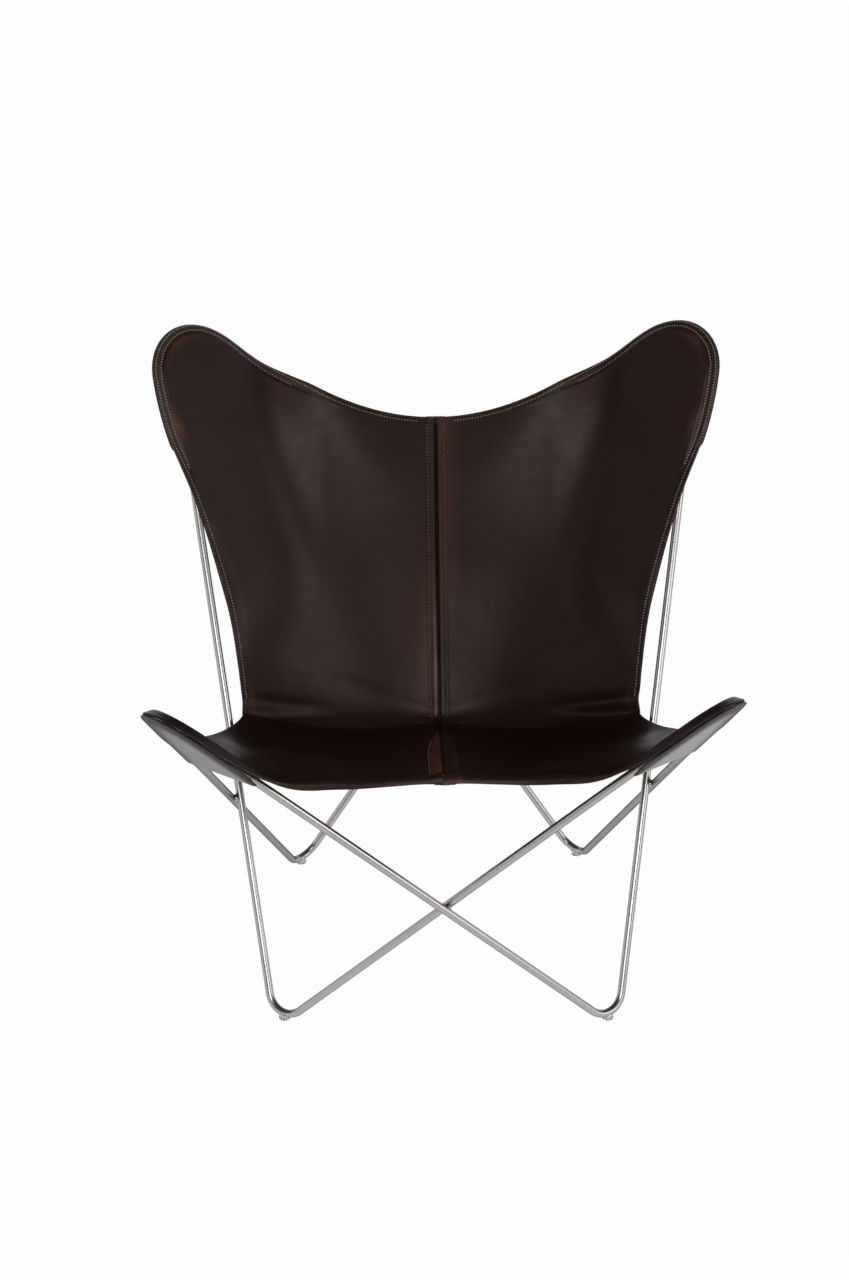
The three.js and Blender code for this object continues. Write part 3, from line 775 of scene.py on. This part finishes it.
def fibrous_material(name, cloud_scale, colours, fibre_scale, fibre_colour, share, roughness, depth):
    """Rough leather with raised fibres, dark where its edge is dyed or turned under."""
    n = Finish(name)
    fibre = n.noise(fibre_scale, 6, 0.7)
    cloud = n.noise(cloud_scale, 4, 0.55)
    colour = n.mix(n.between(cloud, *NOISE), *colours)
    colour = n.mix(n.between(fibre, 0.3, 0.75, 0, share), colour, fibre_colour)
    colour = n.mix(n.attribute("turned"), colour, TURNED)
    return n.shade(Base_Color=colour, Roughness=roughness, Normal=n.bump(fibre, depth), Sheen_Weight=0.2)


def thread_material():
    """Waxed brown thread, paler where a painted highlight stands in for light catching it."""
    n = Finish("thread")
    twist = n.noise(1500, 2, 0.5)
    share = n.between(twist, *NOISE)
    # The thread is lighter by its painted highlight
    colour = n.mix(n.attribute("thread_highlight"), n.mix(share, *PLAIN_THREAD), n.mix(share, *LIT_THREAD))
    return n.shade(Base_Color=colour, Roughness=0.55, Normal=n.bump(twist, 0.15))


def steel_material():
    """Satin stainless steel: slight cloudiness, and fine marks in its gloss."""
    n = Finish("satin_steel")
    cloud = n.noise(22, 4, 0.6)
    marks = n.noise(1400, 3, 0.7)
    colour = n.mix(n.between(cloud, *NOISE), *STEEL)
    rough = n.math("ADD", n.between(cloud, *NOISE, 0.22, 0.26), n.between(marks, *NOISE, 0, 0.03))
    return n.shade(Base_Color=colour, Metallic=1.0, Roughness=rough, Specular_Tint=(0.3, 0.3, 0.3))


def plastic_material():
    """Clear plastic with a faint milky cloud."""
    n = Finish("clear_plastic")
    cloud = n.noise(180, 3, 0.5)
    colour = n.mix(n.between(cloud, *NOISE), *PLASTIC)
    rough = n.between(cloud, *NOISE, 0.3, 0.45)
    return n.shade(Base_Color=colour, Roughness=rough, Transmission_Weight=0.7, IOR=1.35)


leather = leather_material()
flesh = fibrous_material("leather_back", 14, FLESH, 260, FLESH_FIBRE, 0.6, 0.85, 0.5)
lining = fibrous_material("lining", 18, SUEDE, 320, SUEDE_FIBRE, 0.5, 0.8, 0.3)
thread = thread_material()
steel = steel_material()
plastic = plastic_material()


# The frame
def loop_object(name, c):
    """One closed loop of rod through its four corners."""
    order = ["foot", "tip", "rear", "top"]
    bends = []
    for i, key in enumerate(order):
        radius = TIP_BEND_RADIUS if key == "tip" else BEND_RADIUS
        bends.append(Bend(c[key], c[order[i - 1]], c[order[(i + 1) % 4]], radius))
    path = []
    for i, bend in enumerate(bends):
        path.extend(bend.at(np.linspace(0, 1, FINE_BEND_STEPS)))
        start, end = bend.at(1), bends[(i + 1) % 4].at(0)
        path.extend(start + t * (end - start) for t in np.linspace(0, 1, FINE_RUN_STEPS)[1:-1])
    return tube_object(name, np.array(path), ROD_DIAMETER / 2, FINE_ROD_SIDES, [steel])


for name, c in (("loop_a", corners[1]), ("loop_b", corners[-1])):
    rod = loop_object(f"{name}_rod", c)
    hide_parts(*[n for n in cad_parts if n.startswith(f"{name}_")])
for node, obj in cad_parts.items():
    if node.endswith("_weld") or node.endswith("_glide"):
        obj.data.materials.clear()
        obj.data.materials.append(steel if node.endswith("_weld") else plastic)


# The sling
def panel_rows():
    """The cross lines of the fine mesh, crowded towards the front and the top edge."""
    rows = [np.zeros(1)]
    for i, count in enumerate(FINE_PANEL_ROWS):
        t = np.arange(1, count + 1) / count
        if i == 0:
            t = t**FINE_CROWDING
        if i == len(FINE_PANEL_ROWS) - 1:
            t = 1 - (1 - t) ** FINE_CROWDING
        rows.append(ROW_KNOTS[i] + (ROW_KNOTS[i + 1] - ROW_KNOTS[i]) * t)
    return np.concatenate(rows)


def both_ends(count):
    """Places from 0 to 1 that crowd towards both ends."""
    return (1 - np.cos(np.linspace(0, math.pi, count + 1))) / 2


def slow_waves(points, size):
    """A smooth noise, between about -1 and 1, with features of a size."""
    return np.array([noise.noise(Vector(p / size)) for p in points])


def strip_width(v, side):
    """How far the sewn strip reaches from the seam: wide on the seat, narrow at the left's crease."""
    seat = np.clip((SEAT_STRIP_END - v) / SEAT_STRIP_FADE, 0, 1) ** SEAT_STRIP_POWER
    at_crease = CREASE_STRIP[side]
    back = at_crease + (SEAM_ROW - at_crease) * smooth(*BACK_STRIP, v)
    return back + (SEAT_ROW[side] - at_crease) * seat


def seam_relief(v, seam, edge, side):
    """The seam's ridges beside its groove: a roll on the left, and on the right a low flat one."""
    swell = 1 + SEAM_SWELL * near(v, *SWELL_PLACE)
    width = strip_width(v, side)
    rise = smooth(0, SEAM_CREST, seam)
    fall = 1 - smooth(SEAM_CREST, width + RIDGE_OVERRUN, seam)
    groove = SEAM_GROOVE * (1 - rise) * smooth(*GROOVE_FROM_EDGE, edge)
    dip = GROOVE_DEPTH * near(seam, width + DIP_OVERRUN, GROOVE_WIDTH)
    return SEAM_RIDGE[side] * swell * np.minimum(rise, fall) - groove - dip


def edge_relief(v, edge, seam):
    """The rolled hem of the front edge, and the rolled and stitched band round each back pocket."""
    front = 1 - smooth(TIP_POCKET[0] - POCKET_FADE, TIP_POCKET[0], v)
    lump = 1 + HEM_LUMP * near(seam, 0, HEM_LUMP_WIDTH)
    hem = HEM_DROP * lump * rolled(edge / HEM_WIDTH, 1)
    lift = HEM_LIFT * (1 - smooth(HEM_WIDTH, HEM_LIFT_END, edge))
    dip = GROOVE_DEPTH * near(edge, BAND_INNER_ROW, GROOVE_WIDTH)
    roll = BAND_ROLL * np.clip(1 - edge / BAND[0], 0, 1) ** 2
    return front * (lift - hem) - inside(v, TOP_POCKET) * (dip + roll)


def waist_folds(v, u, side):
    """Folds that run from the waist into the crease between seat and back, deeper on the right."""
    strength = FOLD_HEIGHT[side] * smooth(*FOLD_START, u) * (1 - FOLD_END_LOSS * smooth(*FOLD_END, u))
    fold = 0
    for i, wave in enumerate(FOLD_WAVES):
        crest = FOLD_CREST + FOLD_SLANT * (1 - u) - i * FOLD_STEP * FOLD_WIDTH
        fold = fold + wave * near(v, crest, FOLD_WIDTH)
    return strength * fold


class Panel:
    """One panel's fine grids and its mesh."""

    def __init__(self, half):
        self.half = half
        v, u = np.meshgrid(panel_rows(), both_ends(FINE_PANEL_COLUMNS), indexing="ij")
        self.shape = v.shape
        v, u = v.ravel(), u.ravel()
        middle = half.surface(v, u)
        normal = normals_of(half.surface, v, u, seam_at(v)[1])
        edge = half.from_rim(half.stretched(v, u))
        seam = np.abs(middle[:, 0])
        thick = half_thickness(edge, PANEL_THICKNESS)
        slack = smooth(*WAVES_FROM_EDGE, edge) * smooth(*WAVES_FROM_SEAM, seam)
        shift = WAVE_HEIGHT * slow_waves(middle, WAVE_SIZE) * slack
        shift += edge_relief(v, edge, seam) + waist_folds(v, u, half.side)
        shift -= CURL_DROP * near(v, *CURL_PLACE) * np.clip(1 - edge / CURL_WIDTH, 0, 1) ** 2
        upper = middle + (thick + seam_relief(v, seam, edge, half.side) + shift)[:, None] * normal
        lower = middle + (shift - thick)[:, None] * normal
        self.upper = upper.reshape(*self.shape, 3)
        self.lower = lower.reshape(*self.shape, 3)
        self.values = self.colours(v, edge, seam)
        self.trees = [self.tree(self.upper), self.tree(self.lower)]

    def colours(self, v, edge, seam):
        """Where the leather is burnished red, raised on the left seam as painted light, lighter in painted
        highlights, and dyed dark on its lower side.
        """
        side = self.half.side
        seat = 1 - smooth(*SEAT_MARKS_END, v)
        back = smooth(*BACK_MARKS_START, v)
        width = strip_width(v, side)
        strip = 1 - smooth(width + STRIP_EDGE[0], width + STRIP_EDGE[1], seam)
        if side < 0:
            lip = strip * smooth(*STRIP_LIP, seam)
            beside = near(seam, *LEFT_BURNISH_AND_LIGHT_ACROSS) * near(v, *LEFT_BURNISH_AND_LIGHT_ALONG)
            lit = 1 - smooth(*LEFT_BURNISH_AND_LIGHT_END, v)
            seat_light_fade = 1 - SEAT_BURNISH_AND_LIGHT_LOSS * smooth(*SEAT_BURNISH_AND_LIGHT_FADE, v)
            # Here the burnished colour also paints the light on the left ridge and the seat's strip, fading
            # towards the crease
            burnish_and_painted_light = back * lit * (LEFT_BURNISH_AND_LIGHT * beside + LEFT_LIP_BURNISH_AND_LIGHT * lip)
            burnish_and_painted_light = burnish_and_painted_light + seat * strip * seat_light_fade * smooth(*SEAT_BURNISH_AND_LIGHT_START, edge)
            # Painted highlight on the left ridge's crest and lip
            pale = back * near(v, *CREST_HIGHLIGHT_ALONG) * near(seam, SEAM_CREST, CREST_HIGHLIGHT_WIDTH)
            pale = pale + STRIP_HIGHLIGHT[side] * back * lip
        else:
            beside = (1 - smooth(*RIGHT_BURNISH_END, seam)) * smooth(*RIGHT_BURNISH_START, seam)
            line = near(seam, width, SEAT_LINE_WIDTH) * (1 - smooth(*SEAT_LINE_END, v))
            burnish_and_painted_light = RIGHT_BURNISH * back * beside * smooth(*RIGHT_BURNISH_ALONG, v)
            burnish_and_painted_light = burnish_and_painted_light + seat * (SEAT_LINE * line + RIGHT_SEAT_BURNISH * strip)
            # Painted highlight on the right seam strip
            pale = STRIP_HIGHLIGHT[side] * back * strip * (1 - smooth(*RIGHT_HIGHLIGHT_END, v))
        band = inside(v, TOP_POCKET)
        spots = sum(strength * near(v, place, size) for strength, place, size in BAND_SPOTS)
        burnish_and_painted_light = burnish_and_painted_light + (BAND_BURNISH * band + spots) * near(edge, *BAND_BURNISH_ACROSS)
        # Painted highlights on the bands, stronger on the left where light falls, and along the cut edge
        pale = pale + BAND_HIGHLIGHT[side] * band * (1 - smooth(*BAND_HIGHLIGHT_END, edge))
        pale = pale + RIM_HIGHLIGHT * (1 - smooth(*RIM_HIGHLIGHT_END, edge)) * smooth(*RIM_HIGHLIGHT_START, v)
        turned = 1 - smooth(*DYED_EDGE, edge)
        return {"burnish_and_painted_light": np.clip(burnish_and_painted_light, 0, 1), "pale": np.clip(pale, 0, 1), "turned": turned}

    def tree(self, grid):
        index = np.arange(self.shape[0] * self.shape[1]).reshape(self.shape)
        faces = distinct(grid_faces(index))[0]
        return BVHTree.FromPolygons(grid.reshape(-1, 3).tolist(), faces)

    def build(self, name):
        flip = self.half.side > 0
        return sheet_object(name, self.upper, self.lower, True, flip, [leather, flesh], self.values)

    def laid(self, points, towards, side):
        """Points moved onto the panel's upper side (0) or lower side (1), with the side's normals."""
        spots, normals = [], []
        for point, way in zip(points, towards):
            spot, normal, _, _ = self.trees[side].find_nearest(Vector(point))
            spots.append(spot)
            normals.append(normal if normal.dot(Vector(way)) > 0 else -normal)
        return np.array(spots), np.array(normals)

    def edge_path(self, inset, beside, start, end, side):
        """A path between two cross lines, with one inset at the back pocket and another beside it."""
        v = np.linspace(start, end, max(EDGE_ROW_FEWEST, int(EDGE_ROW_POINTS * (end - start))))
        one = np.ones(len(v))
        inset = (beside + (inset - beside) * inside(v, TOP_POCKET))[:, None]
        rim = self.half.surface(v, one)
        normal = normals_of(self.half.surface, v, one, seam_at(v)[1])
        inward = unit(np.cross(normal, np.gradient(rim, axis=0)))
        inward *= np.sign(dot(inward, self.half.surface(v, INWARD_PROBE * one) - rim))[:, None]
        return self.laid(rim + inset * inward, normal if side == 0 else -normal, side)

    def inner_path(self, v, from_seam):
        """A path on the upper side through places at cross lines v and distances from the seam."""
        u = from_seam / np.abs(self.half.outline(v)[:, 0])
        normal = normals_of(self.half.surface, v, u, seam_at(v)[1])
        return self.laid(self.half.surface(v, u), normal, 0)


def stitches(name, paths):
    """Threads along paths with normals, painted highlight and pitch: each is a small arch that dips into
    the leather.
    """
    points, faces, thread_highlights = [], [], []
    for path, normals, thread_highlight, pitch in paths:
        place = np.concatenate([[0], np.cumsum(np.linalg.norm(np.diff(path, axis=0), axis=-1))])
        count = int(place[-1] / pitch)
        middles = (np.arange(count) + 0.5) * place[-1] / count
        reach = np.linspace(-1, 1, STITCH_RINGS)
        at = (middles[:, None] + reach * STITCH_SHARE * pitch / 2).ravel()
        spot = np.stack([np.interp(at, place, path[:, k]) for k in range(3)], axis=-1)
        up = unit(np.stack([np.interp(at, place, normals[:, k]) for k in range(3)], axis=-1))
        spot, up = spot.reshape(count, STITCH_RINGS, 3), up.reshape(count, STITCH_RINGS, 3)
        way = unit(np.gradient(spot, axis=1))
        aside = unit(np.cross(up, way))
        centre = spot + up * (THREAD_RADIUS * (STITCH_RISE - STITCH_ARCH * reach**2))[None, :, None]
        radius = THREAD_RADIUS * (1 - STITCH_TAPER * reach**2)
        angle = np.linspace(0, 2 * math.pi, STITCH_SIDES, endpoint=False)
        ring = np.cos(angle)[:, None] * aside[:, :, None] + np.sin(angle)[:, None] * up[:, :, None]
        made = (centre[:, :, None] + radius[None, :, None, None] * ring).reshape(-1, 3)
        before = sum(len(p) for p in points)
        index = np.arange(len(made)).reshape(count, STITCH_RINGS, STITCH_SIDES) + before
        points.append(made)
        thread_highlights.append(np.full(len(made), thread_highlight))
        for one in index:
            wrapped = np.concatenate([one, one[:, :1]], axis=1)
            faces.extend(grid_faces(wrapped)[:, ::-1].tolist())
            faces.append(one[0].tolist())
            faces.append(one[-1, ::-1].tolist())
    return new_object(name, np.concatenate(points), faces, [thread], values={"thread_highlight": np.concatenate(thread_highlights)})


def pocket_object(name, half, bend, pocket, mouth, turned_under):
    """A pocket from its mouth to the edge, dark where the leather is turned under it."""
    rows = np.linspace(*pocket, FINE_POCKET_ROWS)
    v, j = np.meshgrid(rows, both_ends(FINE_POCKET_COLUMNS), indexing="ij")
    shape = v.shape
    u = (1 - (1 - mouth(rows))[:, None] * (1 - j)).ravel()
    v = v.ravel()

    def surface(at_v, at_u):
        return half.pocket_surface(bend, at_v, at_u)

    middle = surface(v, u)
    normal = normals_of(surface, v, u, np.broadcast_to(bend.normal, middle.shape))
    grid = middle.reshape(*shape, 3)
    rim = np.concatenate([grid[0], grid[:, -1], grid[-1, ::-1], grid[::-1, 0]])
    thick = half_thickness(nearest(middle, rim), POCKET_THICKNESS)[:, None]
    upper = (middle + thick * normal).reshape(*shape, 3)
    lower = (middle - thick * normal).reshape(*shape, 3)
    turned = 1 - smooth(*turned_under, half.from_rim(half.stretched(v, u)))
    values = {"turned": turned.reshape(shape)}
    return sheet_object(name, upper, lower, False, half.side > 0, [lining, lining], values)


def backing_object(name):
    """The strip below the middle seam."""
    v = np.linspace(0, 1, FINE_BACKING_ROWS)
    x = both_ends(FINE_BACKING_COLUMNS) * BACKING_WIDTH - BACKING_WIDTH / 2
    point, facing = seam_at(v)
    depth = PANEL_THICKNESS / 2 + BACKING_GAP + BACKING_THICKNESS / 2
    middle = point[:, None] - depth * facing[:, None] + x[None, :, None] * np.array([1.0, 0, 0])
    thick = half_thickness(BACKING_WIDTH / 2 - np.abs(x), BACKING_THICKNESS)[None, :, None]
    upper, lower = middle + thick * facing[:, None], middle - thick * facing[:, None]
    return sheet_object(name, upper, lower, False, True, [flesh, flesh])


def edge_rows(panel, side):
    """The stitch rows along the back's edge and round the back pocket."""
    outer = panel.edge_path(BAND_OUTER_ROW, EDGE_ROW, *EDGE_ROW_ENDS, side)
    start, end = TOP_POCKET[0] - BAND_OVERRUN, TOP_POCKET[1] + BAND_OVERRUN
    inner = panel.edge_path(BAND_INNER_ROW, BAND_INNER_ROW, start, end, side)
    return [(*path, EDGE_THREAD_HIGHLIGHT, EDGE_PITCH) for path in (outer, inner)]


def seam_rows(panel):
    """The stitch rows beside the seam and in the crease, on the upper side."""
    side = panel.half.side
    back = np.linspace(*BACK_ROW_ENDS, BACK_ROW_POINTS)
    crease = np.full(CREASE_ROW_POINTS, CREASE_ROW)
    across = np.linspace(*CREASE_ROW_ENDS, CREASE_ROW_POINTS)
    rows = [
        (*panel.inner_path(back, SEAM_ROW), BACK_THREAD_HIGHLIGHT[side], SEAM_PITCH),
        (*panel.inner_path(crease, across), CREASE_THREAD_HIGHLIGHT, SEAM_PITCH),
    ]
    if side < 0:
        seat = np.linspace(*SEAT_ROW_ENDS, SEAT_ROW_POINTS)
        rows.append((*panel.inner_path(seat, strip_width(seat, side)), SEAT_THREAD_HIGHLIGHT, SEAM_PITCH))
    return rows


def strip_rows():
    """The seam's stitch rows on the lower side of the backing strip."""
    point, facing = seam_at(np.linspace(*STRIP_ROW_ENDS, STRIP_ROW_POINTS))
    under = point - (PANEL_THICKNESS / 2 + BACKING_GAP + BACKING_THICKNESS) * facing
    places = [under + np.array([x, 0, 0]) for x in (-STRIP_ROW, STRIP_ROW)]
    return [(place, -facing, STRIP_THREAD_HIGHLIGHT, SEAM_PITCH) for place in places]


for word, side in (("left", -1), ("right", 1)):
    half = Half(side)
    panel = Panel(half)
    sheet = panel.build(f"{word}_sling_panel")
    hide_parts(f"{word}_panel")
    rows = edge_rows(panel, 0) + edge_rows(panel, 1) + seam_rows(panel)
    sewing = stitches(f"{word}_stitching", rows)
    places = [
        ("back", half.top, TOP_POCKET, half.top_mouth, BACK_TURNED),
        ("front", half.tip, TIP_POCKET, half.tip_mouth, FRONT_TURNED),
    ]
    for place, bend, pocket, mouth, turned in places:
        patch = pocket_object(f"{place}_{word}_sling_pocket", half, bend, pocket, mouth, turned)
        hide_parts(f"{place}_{word}_pocket")

strip = backing_object("seam_backing_strip")
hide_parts("seam_backing")
sewing = stitches("strip_stitching", strip_rows())


# Camera, floor and light. The camera's place is in millimetres, the rest of the stage in metres.
CAMERA_PLACE = np.array([-49.5, -2986.2, 2003.0])
CAMERA_YAW = 0.0085
CAMERA_PITCH = -0.4605
CAMERA_ROLL = 0.011
CAMERA_LENS = 62.39
SENSOR = 36
FLOOR_SIZE = 60
FLOOR_GAP = 0.0005
FLOOR_WHITE = 0.98
FLOOR_MATT = (0.86, 0.86, 0.86)
WALL_TOP = 0.3
CEILING_START = 0.46
CEILING_GREY = 0.1
SCREEN_SIZE = (9, 3.2)
SCREEN_Y = -4.6
SCREEN_GREY = (0.12, 0.12, 0.12)
SCREEN_ROUGHNESS = 0.9
WORLD_STRENGTH = 0.3
LAMPS = {
    "key": {"place": (3.4, -1.8, 1.8), "target": (0, 0, 0.5), "size": (2.4, 2.0), "power": 28},
    "fill": {"place": (-0.1, -3.5, 2.6), "target": (0, 0, 0.45), "size": (2.8, 1.7), "power": 62},
}


def add_camera():
    forward = np.array([
        math.sin(CAMERA_YAW) * math.cos(CAMERA_PITCH),
        math.cos(CAMERA_YAW) * math.cos(CAMERA_PITCH),
        math.sin(CAMERA_PITCH),
    ])
    level = np.array([math.cos(CAMERA_YAW), -math.sin(CAMERA_YAW), 0])
    down = np.cross(forward, level)
    right = math.cos(CAMERA_ROLL) * level + math.sin(CAMERA_ROLL) * down
    up = math.sin(CAMERA_ROLL) * level - math.cos(CAMERA_ROLL) * down
    place = (CAMERA_PLACE + ORIGIN) * MM
    data = bpy.data.cameras.new("camera")
    data.lens = CAMERA_LENS
    data.sensor_width = SENSOR
    camera = bpy.data.objects.new("camera", data)
    camera.matrix_world = Matrix([
        (right[0], up[0], -forward[0], place[0]),
        (right[1], up[1], -forward[1], place[1]),
        (right[2], up[2], -forward[2], place[2]),
        (0, 0, 0, 1),
    ])
    bpy.context.scene.collection.objects.link(camera)
    bpy.context.scene.camera = camera


def stage_plane(name, points, material, seen=True):
    """One flat face of the stage, which the camera sees or not."""
    mesh = bpy.data.meshes.new(name)
    mesh.from_pydata(points, [], [(0, 1, 2, 3)])
    mesh.materials.append(material)
    plane = bpy.data.objects.new(name, mesh)
    plane.visible_camera = seen
    bpy.context.scene.collection.objects.link(plane)
    return plane


def add_floor():
    """A pale floor that looks almost white and keeps a trace of the shadow."""
    material = bpy.data.materials.new("floor")
    n = Nodes(material)
    n.tree.nodes.remove(n.tree.nodes["Principled BSDF"])
    matt = n.add("BsdfDiffuse", Color=FLOOR_MATT).outputs["BSDF"]
    glow = n.add("Emission", Color=(1, 1, 1)).outputs["Emission"]
    share = n.math("MULTIPLY", n.seen_share(), FLOOR_WHITE)
    n.mix_by_ray(share, matt, glow, "Material Output")
    half = FLOOR_SIZE / 2
    flat = [(-half, -half), (half, -half), (half, half), (-half, half)]
    floor = stage_plane("floor", [(x, y, -FLOOR_GAP) for x, y in flat], material)


def add_world():
    """A white wall all round below a dark ceiling. Gloss shows it as it is, and it gives soft light."""
    world = bpy.data.worlds.new("world")
    n = Nodes(world)
    height = n.add("SeparateXYZ", Vector=n.add("TexCoord").outputs["Generated"]).outputs["Z"]
    ends = {"From_Min": WALL_TOP, "From_Max": CEILING_START, "To_Min": 1, "To_Max": CEILING_GREY}
    room = n.add("MapRange", Value=height, **ends)
    room.interpolation_type = "SMOOTHSTEP"
    light = n.tree.nodes["Background"]
    n.set(light, Color=room.outputs["Result"], Strength=WORLD_STRENGTH)
    seen = n.add("Background", Color=room.outputs["Result"])
    n.mix_by_ray(n.seen_share(), light.outputs["Background"], seen.outputs["Background"], "World Output")
    bpy.context.scene.world = world


def add_screen():
    """A grey studio screen behind the camera, which only gloss and light meet."""
    material = bpy.data.materials.new("screen")
    n = Nodes(material)
    n.set(n.tree.nodes["Principled BSDF"], Base_Color=SCREEN_GREY, Roughness=SCREEN_ROUGHNESS)
    width, height = SCREEN_SIZE
    flat = [(-width / 2, 0), (width / 2, 0), (width / 2, height), (-width / 2, height)]
    screen = stage_plane("screen", [(x, SCREEN_Y, z) for x, z in flat], material, False)


def add_lamp(name, place, target, size, power):
    data = bpy.data.lights.new(name, "AREA")
    data.shape = "RECTANGLE"
    data.size, data.size_y = size
    data.energy = power
    lamp = bpy.data.objects.new(name, data)
    lamp.location = place
    lamp.rotation_euler = (Vector(target) - Vector(place)).to_track_quat("-Z", "Y").to_euler()
    bpy.context.scene.collection.objects.link(lamp)


add_camera()
add_floor()
add_screen()
add_world()
for lamp_name, lamp in LAMPS.items():
    add_lamp(lamp_name, **lamp)
bpy.context.scene.view_settings.view_transform = "Standard"
